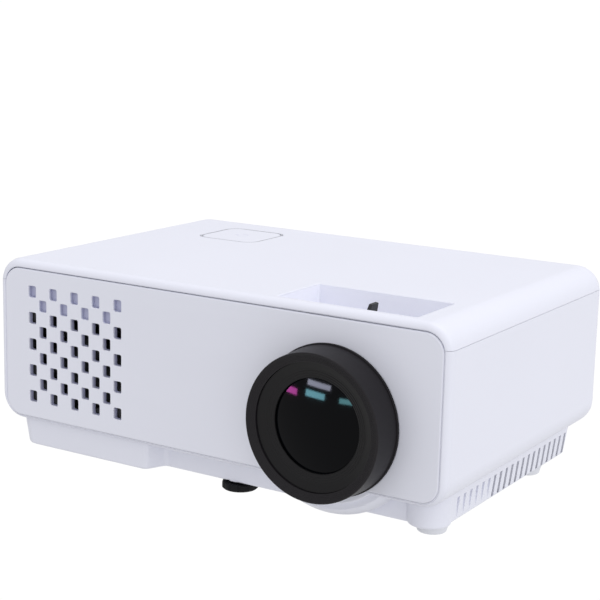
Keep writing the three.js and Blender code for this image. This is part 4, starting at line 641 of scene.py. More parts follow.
# %% Turn the post, the chin and the boss
POST_RADIUS = 8.6
TUCKED_UP = BASE_BOTTOM + 0.03
post_x = BASE_HALF + 0.3 - POST_RADIUS
post_y = base_middle - 3.0 + POST_RADIUS
post_foot = POST_RADIUS - BASE_TAPER / 2
post_profile = [(0, TUCKED_UP)]
post_profile += [(post_foot - inset, TUCKED_UP + rise) for inset, rise in rounding(BASE_EDGE)]
post_profile += [(POST_RADIUS, CASE_BOTTOM + WALL / 2), (0, CASE_BOTTOM + WALL / 2)]
post = turned("post", post_profile, (post_x, post_y, 0), "Z", 64)

CHIN_EDGE = 0.8
LENS_TURNS = 192
CHIN_STEP, CHIN_OUTER, CHIN_ROOT, CHIN_STEP_BACK = 31.6, 34.4, 36.8, 1.7
chin_front = FRONT + 1.5
chin_profile = [(0, chin_front)]
for radius, y in ((CHIN_STEP, chin_front), (CHIN_OUTER, chin_front + CHIN_STEP_BACK)):
    chin_profile += [(radius - inset, y + behind) for inset, behind in rounding(CHIN_EDGE, 5)]
    if radius == CHIN_STEP:
        chin_profile.append((radius, chin_front + CHIN_STEP_BACK - 0.02))
chin_profile += [(CHIN_ROOT, chin_front + 5.7), (CHIN_ROOT, base_middle + WALL), (0, base_middle + WALL)]
CHIN_X = LENS_X - 4.0
chin = turned("chin", chin_profile, (CHIN_X, 0, LENS_Z), "Y", LENS_TURNS)
combined(chin, block("under", (-FAR, -FAR, -FAR), (FAR, FAR, CASE_BOTTOM + WALL / 2)), "INTERSECT")

STEM_HOLE, BOSS_RADIUS = 2.9, 5.2
knob_low, knob_high = node_box("foot_knob")
knob_centre = (*seen_from_above("foot_knob"), 0)
boss = turned("boss", [
    (STEM_HOLE, TUCKED_UP + 0.2), (STEM_HOLE + 0.2, TUCKED_UP), (BOSS_RADIUS - 0.3, TUCKED_UP),
    (BOSS_RADIUS, TUCKED_UP + 0.3), (BOSS_RADIUS, CASE_BOTTOM + WALL / 2), (STEM_HOLE, CASE_BOTTOM + WALL / 2)],
    knob_centre, "Z", 64)
print("under the case:", post.name, chin.name, boss.name)

# %% [markdown]
# ## The front panel and its vent
# The panel is a flat plate with a rounded front edge. The vent is a chequer of small upright holes; the two top
# rows are only shallow dents. Each hole's cutter widens slightly at the face, which leaves a soft chamfer.

# %% Draw the front panel
def flared(name, width, height, radius, centre, mouth, steps):
    """A cutter across the lens axis: a section for every pair of a place and how much wider it is there."""
    return stacked(name, [
        standing(width + 2 * extra, height + 2 * extra, radius + extra, centre, y, steps) for y, extra in mouth])


PANEL_EDGE = 0.7
panel_rings = [panel_section(0.0, panel_high.y)]
for inset, behind in reversed(rounding(PANEL_EDGE)):
    panel_rings.append(panel_section(-inset, FRONT + behind))
panel = stacked("front_panel_mesh", panel_rings)

VENT_ROWS, VENT_COLUMNS = 9, 5
VENT_PITCH = Vector((10.6, 0.0, 5.275))
VENT_START = Vector((panel_low.x + 13.9, 0.0, panel_high.z - 8.8))
HOLE_WIDTH, HOLE_HEIGHT, HOLE_CORNER = 3.7, 4.55, 0.6
MOUTH = 0.28
BLIND_ROWS, DENT_DEPTH, HOLE_DEPTH, LENS_HOLE = 2, 1.9, 4.0, 20.3
vent_tools = []
for row in range(VENT_ROWS):
    shift = row % 2
    for column in range(VENT_COLUMNS - shift):
        x = VENT_START.x + (column + shift / 2) * VENT_PITCH.x
        z = VENT_START.z - row * VENT_PITCH.z
        end = FRONT + (DENT_DEPTH if row < BLIND_ROWS else HOLE_DEPTH)
        mouth = (
            (FRONT - 1.0, MOUTH), (FRONT, MOUTH), (FRONT + MOUTH / 3, MOUTH / 3), (FRONT + MOUTH, 0.0), (end, 0.0))
        vent_tools.append(flared("hole", HOLE_WIDTH, HOLE_HEIGHT, HOLE_CORNER, (x, z), mouth, 4))
cut(panel, joined("vent_cutters", vent_tools))
lens_hole = [(0, FRONT - 1), (LENS_HOLE, FRONT - 1), (LENS_HOLE, FRONT + 4), (0, FRONT + 4)]
cut(panel, turned("lens_hole", lens_hole, LENS_AXIS))
print("front panel faces:", len(panel.data.polygons))

# %% [markdown]
# ## The focus ring
# The ring is turned on the lens axis. Its lip slopes inward like a shallow dish and carries fine grooves near the
# outer edge, which catch the light on one side only. The outside tapers a little and ends in a thin flange.

# %% Turn the focus ring
def out(distance):
    """A place on the lens axis, measured forward from the panel's face."""
    return FRONT - distance


RING_BORE, FLANGE_RADIUS = 20.4, 27.6
LIP_OUT, LIP_RADIUS, LIP_INNER, LIP_FALL = 13.5, 26.1, 23.2, 1.3
LIP_EDGE, LIP_EDGE_RADIUS, LIP_EDGE_STEPS = 0.5, 26.65 - 0.5, 5
lip_slope = LIP_FALL / (LIP_RADIUS - LIP_INNER)
ring_profile = [
    (RING_BORE, out(0.3)), (FLANGE_RADIUS - 0.2, out(0.3)), (FLANGE_RADIUS, out(0.5)), (FLANGE_RADIUS, out(1.1)),
    (FLANGE_RADIUS - 0.15, out(1.3)), (FLANGE_RADIUS - 0.5, out(1.35))]
for i in range(LIP_EDGE_STEPS + 1):
    angle = math.radians(-90 * i / LIP_EDGE_STEPS)
    ring_profile.append((
        LIP_EDGE_RADIUS + LIP_EDGE * math.cos(angle), out(LIP_OUT - LIP_EDGE) + LIP_EDGE * math.sin(angle)))
GROOVES, GROOVE_START, GROOVE_PITCH, GROOVE_DEPTH = 5, 25.85, 0.52, 0.12
for i in range(GROOVES):
    radius = GROOVE_START - i * GROOVE_PITCH
    fall = (LIP_RADIUS - radius) * lip_slope
    ring_profile += [
        (radius, out(LIP_OUT - fall)), (radius - 0.08, out(LIP_OUT - fall - GROOVE_DEPTH)),
        (radius - 0.2, out(LIP_OUT - fall - GROOVE_DEPTH)), (radius - 0.28, out(LIP_OUT - fall - 0.1))]
ring_profile += [(LIP_INNER, out(LIP_OUT - LIP_FALL)), (LIP_INNER, out(2.6)), (RING_BORE, out(2.6))]
focus_ring = turned("focus_ring_mesh", ring_profile, LENS_AXIS, "Y", LENS_TURNS)
print("focus ring faces:", len(focus_ring.data.polygons))

# %% [markdown]
# ## The retaining ring and the front glass
# Inside the focus ring a threaded ring holds the glass. It carries the lip's slope on as a cone, and then falls
# to the glass in four fine steps, like a thread seen from its end. The glass is a shallow dome, drawn finely so
# that reflections run over it smoothly.

# %% Turn the retaining ring and the glass
CONE_OUT, CONE_RADIUS = 11.2, 23.08
STEP_START, STEP_END, STEP_TOP, STEP_FOOT, STEPS = 20.6, 17.1, 10.2, 9.35, 4
retain_profile = [
    (STEP_END - 0.1, out(8.75)), (21.3, out(8.75)), (21.3, out(9.6)), (CONE_RADIUS, out(9.6)),
    (CONE_RADIUS, out(CONE_OUT))]
retain_profile += [(STEP_START + 0.25, out(STEP_TOP + 0.14)), (STEP_START, out(STEP_TOP))]
for i in range(STEPS):
    share, after = i / STEPS, (i + 1) / STEPS
    radius = STEP_START + (STEP_END - STEP_START) * share
    next_radius = STEP_START + (STEP_END - STEP_START) * after
    height = STEP_TOP + (STEP_FOOT - STEP_TOP) * share
    lower = STEP_TOP + (STEP_FOOT - STEP_TOP) * after
    ledge = radius * 0.4 + next_radius * 0.6
    retain_profile += [
        (ledge + 0.06, out(height)), (ledge, out(height - 0.04)), (next_radius + 0.05, out(lower - 0.02)),
        (next_radius, out(lower))]
retain_profile += [(STEP_END - 0.1, out(STEP_FOOT - 0.15))]
retaining = turned("retaining_ring_mesh", retain_profile, LENS_AXIS, "Y", LENS_TURNS)

GLASS_RADIUS, GLASS_RISE, GLASS_EDGE = 17.2, 2.1, 8.5
glass_profile = [(0, out(7.5)), (21.2, out(7.5)), (21.2, out(GLASS_EDGE)), (GLASS_RADIUS, out(GLASS_EDGE))]
GLASS_RINGS = 28
for i in range(1, GLASS_RINGS):
    share = math.cos(i / GLASS_RINGS * math.pi / 2)
    glass_profile.append((GLASS_RADIUS * share, out(GLASS_EDGE + GLASS_RISE * (1 - share ** 2))))
glass_profile.append((0, out(GLASS_EDGE + GLASS_RISE)))
glass = turned("front_glass_mesh", glass_profile, LENS_AXIS, "Y", LENS_TURNS)
print("retaining ring faces:", len(retaining.data.polygons), "glass faces:", len(glass.data.polygons))

# %% [markdown]
# ## Softened edges
# The smaller pieces are made from plain outlines first. A bevel then runs along every sharp edge, because no
# moulded or turned edge is ever quite sharp, and it is that thin band which catches the light.

# %% Soften edges
SMALL_TURNS = 48
BEVEL_ABOVE = math.radians(35)


def softened(piece, width, segments=2):
    """Round every sharp edge of a piece by a small radius."""
    form = bmesh.new()
    form.from_mesh(piece.data)
    bmesh.ops.remove_doubles(form, verts=form.verts, dist=0.0005)
    edges = [e for e in form.edges if len(e.link_faces) == 2 and e.calc_face_angle(0.0) > BEVEL_ABOVE]
    bmesh.ops.bevel(
        form, geom=edges, offset=width, segments=segments, profile=0.5, affect="EDGES", clamp_overlap=True)
    form.to_mesh(piece.data)
    form.free()
    return piece


small_pieces = []
print("softening ready")

# %% [markdown]
# ## The power key
# The key is a rounded square with a soft upper edge over a wider flange that keeps it in the cover. A thin ring,
# open at the top, and a short bar are pressed into its face as the usual sign for power. A grey trim ring with a
# flange of its own lines the hole.

# %% Make the key
KEY_SIZE, KEY_CORNER = 27.1, 5.0
KEY_EDGE, KEY_FLANGE, KEY_DROP = 0.4, 1.1, 4.8
key_widest, key_seat = KEY_SIZE + 2 * KEY_FLANGE, TOP - KEY_DROP
key_rings = [
    lying(size, size, KEY_CORNER, key_centre, z)
    for size, z in ((key_widest, key_seat - 1.5), (key_widest, key_seat), (KEY_SIZE, key_seat))]
for below, inset in rounding(KEY_EDGE):
    size = KEY_SIZE - 2 * inset
    key_rings.append(lying(size, size, KEY_CORNER - inset, key_centre, TOP - below))
power_key = stacked("power_key_mesh", key_rings)

MARK_DEPTH, MARK_INNER, MARK_OUTER, MARK_STEPS = 0.16, 2.3, 2.75, 24
mark_angles = [math.radians(120 + (420 - 120) * i / MARK_STEPS) for i in range(MARK_STEPS + 1)]
mark_outline = [
    (key_centre[0] + radius * math.cos(a), key_centre[1] + radius * math.sin(a))
    for radius, angles in ((MARK_OUTER, mark_angles), (MARK_INNER, mark_angles[::-1])) for a in angles]
bar_outline = rounded_rectangle(0.5, 2.6, 0.2, (key_centre[0], key_centre[1] + 2.1), 3)
for name, outline in (("mark_ring", mark_outline), ("mark_bar", bar_outline)):
    cut(power_key, prism(name, outline, TOP - MARK_DEPTH, TOP + 1))
print("key faces:", len(power_key.data.polygons))

# %% Make the trim ring
TRIM_INNER, TRIM_OUTER, TRIM_FLANGE = 27.7, 28.9, 1.2
trim_low_z = node_box("key_trim_ring")[0].z
trim_rings = []
for size, z in (
        (TRIM_OUTER, trim_low_z), (TRIM_OUTER, TOP - 3.9), (TRIM_OUTER + 2 * TRIM_FLANGE, TOP - 3.9),
        (TRIM_OUTER + 2 * TRIM_FLANGE, TOP - 2.5), (TRIM_OUTER, TOP - 2.5), (TRIM_OUTER, TOP - 0.15),
        (TRIM_OUTER - 0.08, TOP - 0.04), (TRIM_OUTER - 0.3, TOP), (TRIM_INNER + 0.3, TOP),
        (TRIM_INNER + 0.08, TOP - 0.04), (TRIM_INNER, TOP - 0.15), (TRIM_INNER, trim_low_z)):
    radius = 5.3 + (size - TRIM_INNER) / 2
    trim_rings.append(lying(size, size, min(radius, 5.9), key_centre, z))
key_trim = stacked("key_trim_mesh", trim_rings, closed=True)
small_pieces += [(power_key, "power_key", "shell_white"), (key_trim, "key_trim_ring", "trim_grey")]
print("trim faces:", len(key_trim.data.polygons))

# %% [markdown]
# ## Feet
# Four soft feet press into the floor of the case with a stud. Each one flares upward, has a rounded tread and a
# fine groove under its upper edge.

# %% Turn the feet
FOOT_NODES = ("foot_front_left", "foot_front_right", "foot_rear_left", "foot_rear_right")
STUD, STUD_LENGTH = 2.2, 3.6


def foot_profile(top):
    """Half of a foot's section, from the middle of its tread up to the end of its stud."""
    points = [(0, 0.25), (3.0, 0.25), (3.4, 0.0)]
    points += [(4.6 + 0.8 * math.sin(a), 0.8 - 0.8 * math.cos(a)) for a in [math.radians(15 * i) for i in range(7)]]
    groove = top - 1.0
    points += [(6.05, groove - 0.25), (5.85, groove - 0.12), (5.85, groove + 0.12), (6.15, groove + 0.25)]
    points += [(6.55, top - 0.3), (6.5, top - 0.08), (6.3, top)]
    points += [(STUD, top), (STUD, top + STUD_LENGTH - 0.3), (STUD - 0.3, top + STUD_LENGTH), (0, top + STUD_LENGTH)]
    return points


for node in FOOT_NODES:
    foot = turned(node + "_mesh", foot_profile(BASE_BOTTOM - GAP), (*seen_from_above(node), 0), "Z", 64)
    small_pieces.append((foot, node, "foot_grey"))
print("feet:", len(FOOT_NODES))

# %% [markdown]
# ## The screw foot
# The knob is a low black wheel with twelve flutes. Its stem is cut with a real thread profile, in rings. It turns
# on a small pad, and a brass nut in the case takes the thread.

# %% Make the knob
KNOB_RADIUS, KNOB_RIM, KNOB_DOME, STEM_RADIUS = 6.9, 3.0, 0.5, 2.5
THREAD_PITCH, THREAD_DEPTH, FLUTES = 0.8, 0.3, 12
knob_bottom, knob_top, stem_top = knob_low.z, knob_low.z + KNOB_RIM, knob_high.z
pocket = knob_bottom + 1.8
knob_profile = [
    (2.1, pocket), (2.1, knob_bottom), (3.6, knob_bottom), (KNOB_RADIUS - 0.5, knob_bottom + KNOB_DOME / 2),
    (KNOB_RADIUS, knob_bottom + KNOB_DOME + 0.2), (KNOB_RADIUS, knob_top - 0.6),
    (KNOB_RADIUS - 0.18, knob_top - 0.18), (KNOB_RADIUS - 0.6, knob_top), (4.6, knob_top + 0.02),
    (4.3, knob_top - 0.3), (3.4, knob_top - 0.3), (3.1, knob_top + 0.25)]
thread_z = knob_top + 0.6
while thread_z < stem_top - 1.2:
    knob_profile += [
        (STEM_RADIUS, thread_z), (STEM_RADIUS - THREAD_DEPTH, thread_z + 0.35),
        (STEM_RADIUS - THREAD_DEPTH, thread_z + 0.45)]
    thread_z += THREAD_PITCH
knob_profile += [
    (STEM_RADIUS, thread_z), (STEM_RADIUS, stem_top - 0.4), (STEM_RADIUS - 0.4, stem_top), (0, stem_top), (0, pocket)]
knob = turned("foot_knob_mesh", knob_profile, knob_centre, "Z", 96)
flute_tools = []
flute = [
    (0, knob_bottom - 1), (0.85, knob_bottom - 1), (0.7, knob_bottom + 0.8), (0.7, knob_top - 0.5),
    (1.0, knob_top + 0.2), (0, knob_top + 0.2)]
for i in range(FLUTES):
    angle = i / FLUTES * 2 * math.pi
    reach = KNOB_RADIUS + 0.35
    place = (knob_centre[0] + reach * math.cos(angle), knob_centre[1] + reach * math.sin(angle), 0)
    flute_tools.append(turned("flute", flute, place, "Z", 20))
cut(knob, joined("flutes", flute_tools))
print("knob faces:", len(knob.data.polygons))

# %% Make its pad and its nut
pad_low, pad_high = node_box("foot_pad")
nut_low, nut_high = node_box("foot_nut")
pad_profile = [
    (0, pad_low.z), (2.9, pad_low.z), (3.3, pad_low.z + 0.06), (3.6, 0.45), (3.5, 0.6), (1.8, 0.6),
    (1.8, pad_high.z), (0, pad_high.z)]
pad = turned("foot_pad_mesh", pad_profile, knob_centre, "Z", SMALL_TURNS)
nut_profile = [
    (2.8, nut_low.z), (3.55, nut_low.z), (3.8, nut_low.z + 0.25), (3.8, nut_high.z - 1.0), (4.45, nut_high.z - 1.0),
    (4.6, nut_high.z - 0.85), (4.6, nut_high.z - 0.15), (4.45, nut_high.z), (3.0, nut_high.z), (2.8, nut_high.z - 0.2)]
nut = turned("foot_nut_mesh", nut_profile, knob_centre, "Z", SMALL_TURNS)
small_pieces += [
    (knob, "foot_knob", "lever_black", "knob_black"), (pad, "foot_pad", "pad_black"), (nut, "foot_nut", "brass")]
print("screw foot made")

# %% [markdown]
# ## Tripod nut and case screws
# The tripod nut's bore is threaded too. The four long screws sit deep in the floor; only their crossed heads show.

# %% Make the tripod nut and the screws
TRIPOD_RADIUS, TRIPOD_BORE, TRIPOD_THREAD, TRIPOD_PITCH = 6.0, 3.2, 3.6, 1.27
tripod_low, tripod_high = node_box("tripod_nut")
tripod_profile = [
    (TRIPOD_THREAD, tripod_low.z), (TRIPOD_RADIUS - 0.25, tripod_low.z), (TRIPOD_RADIUS, tripod_low.z + 0.25),
    (TRIPOD_RADIUS, tripod_high.z), (TRIPOD_BORE, tripod_high.z)]
thread_z = tripod_high.z - 0.5
while thread_z > tripod_low.z + 1.0:
    tripod_profile += [(TRIPOD_BORE, thread_z), (TRIPOD_THREAD, thread_z - 0.5), (TRIPOD_THREAD, thread_z - 0.7)]
    thread_z -= TRIPOD_PITCH
tripod_centre = (*seen_from_above("tripod_nut"), 0)
tripod_nut = turned("tripod_nut_mesh", tripod_profile, tripod_centre, "Z", SMALL_TURNS)
small_pieces.append((tripod_nut, "tripod_nut", "brass"))

SCREW_NODES = ("case_screw_front_left", "case_screw_front_right", "case_screw_rear_left", "case_screw_rear_right")
SCREW_HEAD, SCREW_SHANK, CROSS_LENGTH, CROSS_WIDTH = 2.8, 1.5, 3.0, 0.62
for node in SCREW_NODES:
    screw_low, screw_high = node_box(node)
    x, y = seen_from_above(node)
    head = screw_low.z
    profile = [(0, head), (2.2, head), (2.6, head + 0.15), (SCREW_HEAD, head + 0.6), (SCREW_HEAD, head + 1.8)]
    profile += [(SCREW_SHANK, head + 2.1), (SCREW_SHANK, screw_high.z - 1.5), (0.6, screw_high.z), (0, screw_high.z)]
    screw = turned(node + "_mesh", profile, (x, y, 0), "Z", 32)
    for across, along in ((CROSS_LENGTH, CROSS_WIDTH), (CROSS_WIDTH, CROSS_LENGTH)):
        bar = block("drive", (x - across / 2, y - along / 2, head - 0.5), (x + across / 2, y + along / 2, head + 0.9))
        cut(screw, bar)
    small_pieces.append((screw, node, "port_steel"))
print("screws made")

# %% [markdown]
# ## The keystone lever
# A thin fin stands in the recess. It rises from a ring on the lens sleeve, inside the case, and a crank pin on
# the ring's left moves the panel gate. The fin's front slants back, and all its edges are softened.

# %% Make the keystone lever
LEVER_FRONT, LEVER_LENGTH, LEVER_BORE, LEVER_RING = FRONT + 13.25, 7.0, 20.3, 23.5
lever_rear = LEVER_FRONT + LEVER_LENGTH
fin_root = LENS_Z + (LEVER_BORE + LEVER_RING) / 2
fin_top = TOP - 0.4
FIN_HALF, FIN_SLANT, FIN_SLANT_DROP = 0.7, 2.4, 4.8
fin_outline = [
    (LEVER_FRONT, fin_root), (lever_rear, fin_root), (lever_rear, fin_top), (LEVER_FRONT + FIN_SLANT, fin_top),
    (LEVER_FRONT, fin_top - FIN_SLANT_DROP)]
fin = softened(prism("fin", fin_outline, LENS_X - FIN_HALF, LENS_X + FIN_HALF, "X"), 0.22, 3)
to_axis = Matrix.Translation(LENS_AXIS)
fin.data.transform(to_axis @ Matrix.Rotation(math.radians(LEVER_LEAN), 4, "Y") @ to_axis.inverted())
lever_ring = turned("lever_ring", [
    (LEVER_BORE, LEVER_FRONT + 0.2), (LEVER_BORE + 0.2, LEVER_FRONT), (LEVER_RING - 0.3, LEVER_FRONT),
    (LEVER_RING, LEVER_FRONT + 0.3), (LEVER_RING, lever_rear - 0.3), (LEVER_RING - 0.3, lever_rear),
    (LEVER_BORE + 0.2, lever_rear), (LEVER_BORE, lever_rear - 0.2)], LENS_AXIS, "Y", 96)
CRANK_REACH, LUG_REACH, LUG_HALF, PIN_RADIUS, PIN_LENGTH = 26.0, 21.9, 2.4, 1.5, 5.0
crank_x = LENS_X - CRANK_REACH
lug_low = (crank_x - 1.8, LEVER_FRONT, LENS_Z - LUG_HALF)
lug_high = (LENS_X - LUG_REACH, lever_rear, LENS_Z + LUG_HALF)
lug = softened(block("lug", lug_low, lug_high), 0.3)
crank_pin = turned("crank_pin", [
    (0, lever_rear - 0.3), (PIN_RADIUS, lever_rear - 0.3), (PIN_RADIUS, lever_rear + PIN_LENGTH - 0.3),
    (PIN_RADIUS - 0.3, lever_rear + PIN_LENGTH), (0, lever_rear + PIN_LENGTH)], (crank_x, 0, LENS_Z), "Y", 32)
lever = joined("keystone_lever_mesh", [lever_ring, fin, lug, crank_pin])
small_pieces.append((lever, "keystone_lever", "lever_black"))
print("lever faces:", len(lever.data.polygons))

# %% [markdown]
# ## The rear panel
# The rear panel carries a round grille of flat slots for the exhaust fan, and one opening for each socket. Every
# opening widens over its last quarter millimetre, as moulded ones do.

# %% Cut the rear panel
PANEL_SOFT, MOUTH_SOFT, REAR_CORNER = 0.5, 0.25, 4.0
rear_rings = [section(rear_width, rear_height, REAR_CORNER, rear_low.y, rear_middle)]
for before, inset in rounding(PANEL_SOFT):
    rear_rings.append(section(
        rear_width - 2 * inset, rear_height - 2 * inset, REAR_CORNER - inset, rear_high.y - before, rear_middle))
rear_panel = stacked("rear_panel_mesh", rear_rings)


def rear_cutter(width, height, radius, x, z):
    """A cutter through the rear panel, flared at its face."""
    mouth = (
        (rear_low.y - 1, 0.0), (REAR - MOUTH_SOFT, 0.0), (REAR - MOUTH_SOFT / 3, MOUTH_SOFT / 3),
        (REAR, MOUTH_SOFT), (REAR + 1, MOUTH_SOFT))
    return flared("rear_cutter", width, height, radius, (x, z), mouth, 6)


GRILLE_RADIUS, GRILLE_PITCH, GRILLE_SLOT, GRILLE_RIB = 20.5, 4.4, 2.4, 2.2
fan_x, fan_z, *_ = seen_from_behind("exhaust_fan_frame")
rear_tools = []
for i in range(-4, 5):
    half = math.sqrt(GRILLE_RADIUS ** 2 - (i * GRILLE_PITCH) ** 2)
    for side in (-1, 1):
        width = half - GRILLE_RIB / 2
        slot_x = fan_x + side * (GRILLE_RIB / 2 + width / 2)
        rear_tools.append(rear_cutter(width, GRILLE_SLOT, 0.5, slot_x, fan_z + i * GRILLE_PITCH))
BOX_SOCKETS = ("hdmi_port", "vga_port", "usb_port", "card_slot", "mains_inlet")
ROUND_SOCKETS = ("audio_jack", "infrared_window")
for node in BOX_SOCKETS:
    x, z, width, height = seen_from_behind(node)
    rear_tools.append(rear_cutter(width + 2 * GAP, height + 2 * GAP, 0.3, x, z))
for node in ROUND_SOCKETS:
    x, z, width, _ = seen_from_behind(node)
    radius = width / 2 + GAP
    rear_tools.append(turned("round_cutter", [
        (0, rear_low.y - 1), (radius, rear_low.y - 1), (radius, REAR - MOUTH_SOFT), (radius + MOUTH_SOFT, REAR),
        (radius + MOUTH_SOFT, REAR + 1), (0, REAR + 1)], (x, 0, z), "Y", SMALL_TURNS))
cut(rear_panel, joined("rear_cutters", rear_tools))
small_pieces.append((rear_panel, "rear_panel", "panel_white"))
print("rear panel faces:", len(rear_panel.data.polygons))

# %% [markdown]
# ## The sockets
# Each socket is a folded shell with its own insides: a tongue with spring contacts for the two flat ones, pin
# holes in three rows for the display socket, and two round pins in the mains inlet. They could be imported as ready
# models, but plain blocks with softened edges and a flared room give the same look with few faces.

# %% Make the flat sockets
SHELL = 0.8
SOCKET_DEPTH, ROOM_DEPTH = 13.8, 12.2
CONTACT_THICKNESS, CONTACT_SUNK = 0.16, 0.04
socket_end = REAR - SOCKET_DEPTH


def socket_body(name, node, edge, segments=2):
    """A block of a socket's own size with softened edges."""
    x, z, width, height = seen_from_behind(node)
    low, high = (x - width / 2, socket_end, z - height / 2), (x + width / 2, REAR, z + height / 2)
    return softened(block(name, low, high), edge, segments)


def socket_shell(name, node, room_radius=0.4):
    """A box with rounded edges and a room open to the rear."""
    x, z, width, height = seen_from_behind(node)
    mouth = ((REAR - ROOM_DEPTH, 0.0), (REAR - 0.3, 0.0), (REAR, 0.22), (REAR + 1, 0.22))
    room = flared("room", width - 2 * SHELL, height - 2 * SHELL, room_radius, (x, z), mouth, 4)
    return cut(socket_body(name, node, 0.25), room)


def tongued(node, tongue, count, pitch, width):
    """A socket with a tongue and a row of spring contacts on it."""
    x, z, outer, _ = seen_from_behind(node)
    pieces = [socket_shell(node + "_shell", node)]
    half = outer / 3
    low, high = (x - half, socket_end + SHELL, z - tongue / 2), (x + half, REAR - SHELL, z + tongue / 2)
    pieces.append(softened(block("tongue", low, high), 0.18))
    bottom = z + tongue / 2 - CONTACT_SUNK
    for i in range(count):
        place = x + (i - (count - 1) / 2) * pitch
        low = (place - width / 2, socket_end + 1.2, bottom)
        high = (place + width / 2, REAR - SHELL - 0.8, bottom + CONTACT_THICKNESS)
        pieces.append(softened(block("contact", low, high), 0.04, 1))
    return joined(node + "_mesh", pieces)


hdmi = tongued("hdmi_port", 1.2, 10, 0.95, 0.42)
usb = tongued("usb_port", 1.8, 4, 2.2, 0.9)
card = socket_shell("card_slot_mesh", "card_slot", 0.2)
print("flat sockets:", hdmi.name, usb.name, card.name)

# %% Make the display socket
PIN_ROWS, PIN_COLUMNS, PIN_PITCH, PIN_SHIFT, ROW_PITCH = 3, 5, 2.1, 0.5, 1.9
x, z, width, height = seen_from_behind("vga_port")
vga = socket_body("vga_port_mesh", "vga_port", 0.3)
half_top, side = width / 2 - 2 * SHELL, height / 2 - SHELL
half_foot = half_top - 1.4


def wedge(inset, radius):
    """The display socket's outline, wider at the top, drawn in by an inset."""
    foot, top, rise = half_foot - inset, half_top - inset, side - inset
    return rounded_polygon([
        (x - foot, z - rise, radius), (x + foot, z - rise, radius), (x + top, z + rise, radius),
        (x - top, z + rise, radius)], 5)


cut(vga, prism("vga_room", wedge(0.0, 1.2), REAR - 5.0, REAR + 1, "Y"))
core = softened(prism("vga_core", wedge(0.6, 0.9), REAR - 5.1, REAR - 0.6, "Y"), 0.15)
pin_holes = []
hole = [(0, REAR - 3.0), (0.42, REAR - 3.0), (0.42, REAR - 0.8), (0.62, REAR - 0.5), (0.62, REAR), (0, REAR)]
for row in range(PIN_ROWS):
    for i in range(PIN_COLUMNS):
        hole_x = x + (i - 2) * PIN_PITCH + (PIN_SHIFT if row == 1 else 0.0)
        pin_holes.append(turned("pin_hole", hole, (hole_x, 0, z + (row - 1) * ROW_PITCH), "Y", 12))
cut(core, joined("pin_holes", pin_holes))
vga = joined("vga_port_mesh", [vga, core])
print("display socket faces:", len(vga.data.polygons))

# %% Make the jack
x, z, *_ = seen_from_behind("audio_jack")
jack = turned("audio_jack_mesh", [
    (0, socket_end), (3.8, socket_end), (4.0, socket_end + 0.2), (4.0, REAR - 0.3), (3.75, REAR),
    (2.9, REAR), (2.8, REAR - 0.25), (2.5, REAR - 0.25), (2.4, REAR - 0.02), (2.1, REAR - 0.05), (1.8, REAR - 0.5),
    (1.8, socket_end + 1.6), (0, socket_end + 1.6)], (x, 0, z), "Y", SMALL_TURNS)
print("jack faces:", len(jack.data.polygons))

# %% Make the mains inlet
PIN_APART = 3.7
INLET_WIDTH, INLET_HEIGHT, INLET_CORNER = 15.0, 8.4, 3.9
x, z, *_ = seen_from_behind("mains_inlet")
inlet = socket_body("mains_inlet_mesh", "mains_inlet", 0.6, 3)
mouth = ((REAR - 10.0, 0.0), (REAR - 0.8, 0.0), (REAR - 0.25, 0.2), (REAR, 0.7), (REAR + 1, 0.7))
cut(inlet, flared("mains_room", INLET_WIDTH, INLET_HEIGHT, INLET_CORNER, (x, z), mouth, 10))
pin = [
    (0, REAR - 10.5), (1.2, REAR - 10.5), (1.2, REAR - 1.9), (0.95, REAR - 1.2), (0.5, REAR - 1.0), (0, REAR - 1.0)]
pins = [turned("mains_pin", pin, (x + side * PIN_APART, 0, z), "Y", 24) for side in (-1, 1)]
inlet_pins = joined("mains_inlet_pins_mesh", pins)
print("mains inlet faces:", len(inlet.data.polygons))

# %% Make the infrared window
WINDOW_RADIUS, WINDOW_RISE = 2.6, 0.5
x, z, *_ = seen_from_behind("infrared_window")
window = [(0, REAR - 4.0), (WINDOW_RADIUS - 0.2, REAR - 4.0), (WINDOW_RADIUS, REAR - 3.8)]
for i in range(6):
    angle = math.radians(15 * i)
    window.append((WINDOW_RADIUS * math.cos(angle), REAR - WINDOW_RISE + WINDOW_RISE * math.sin(angle)))
window.append((0, REAR))
infrared = turned("infrared_window_mesh", window, (x, 0, z), "Y", SMALL_TURNS)
small_pieces += [
    (hdmi, "hdmi_port", "port_steel"), (usb, "usb_port", "port_steel"), (card, "card_slot", "port_steel"),
    (vga, "vga_port", "port_steel"), (jack, "audio_jack", "inner_black"), (inlet, "mains_inlet", "inner_black"),
    (infrared, "infrared_window", "infrared_dark")]
print("sockets made:", len(BOX_SOCKETS) + len(ROUND_SOCKETS))

# %% [markdown]
# ## Openings in the floor
# Screws, tripod nut, feet and the knob's stem reach into the floor of the base. Each gets an opening with a little
# room round it, so what is seen from below is the piece in its hole.

# %% Open the floor of the base
SCREW_ROOM, NUT_ROOM = 0.3, 0.15
openings = [(node, STUD + NUT_ROOM) for node in FOOT_NODES]
openings += [(node, SCREW_HEAD + SCREW_ROOM) for node in SCREW_NODES]
openings += [("tripod_nut", TRIPOD_RADIUS + NUT_ROOM), ("foot_nut", STEM_HOLE)]
bottom, top = BASE_BOTTOM - 1.0, BASE_BOTTOM + WALL + 1.0
floor_tools = []
for node, radius in openings:
    outline = [(0, bottom), (radius, bottom), (radius, top), (0, top)]
    floor_tools.append(turned("opening", outline, (*seen_from_above(node), 0), "Z", 48))
cut(base, joined("floor_openings", floor_tools))
print("openings in the floor:", len(openings))

# %% [markdown]
# ## Finishes
# Every finish is procedural. Noise in object space gives a fine moulded grain, a slow drift in roughness and a
# faint drift in colour, so no surface is perfectly even. The circuit boards add a brick pattern for their tracks,
# and the clear plastic lets light through.

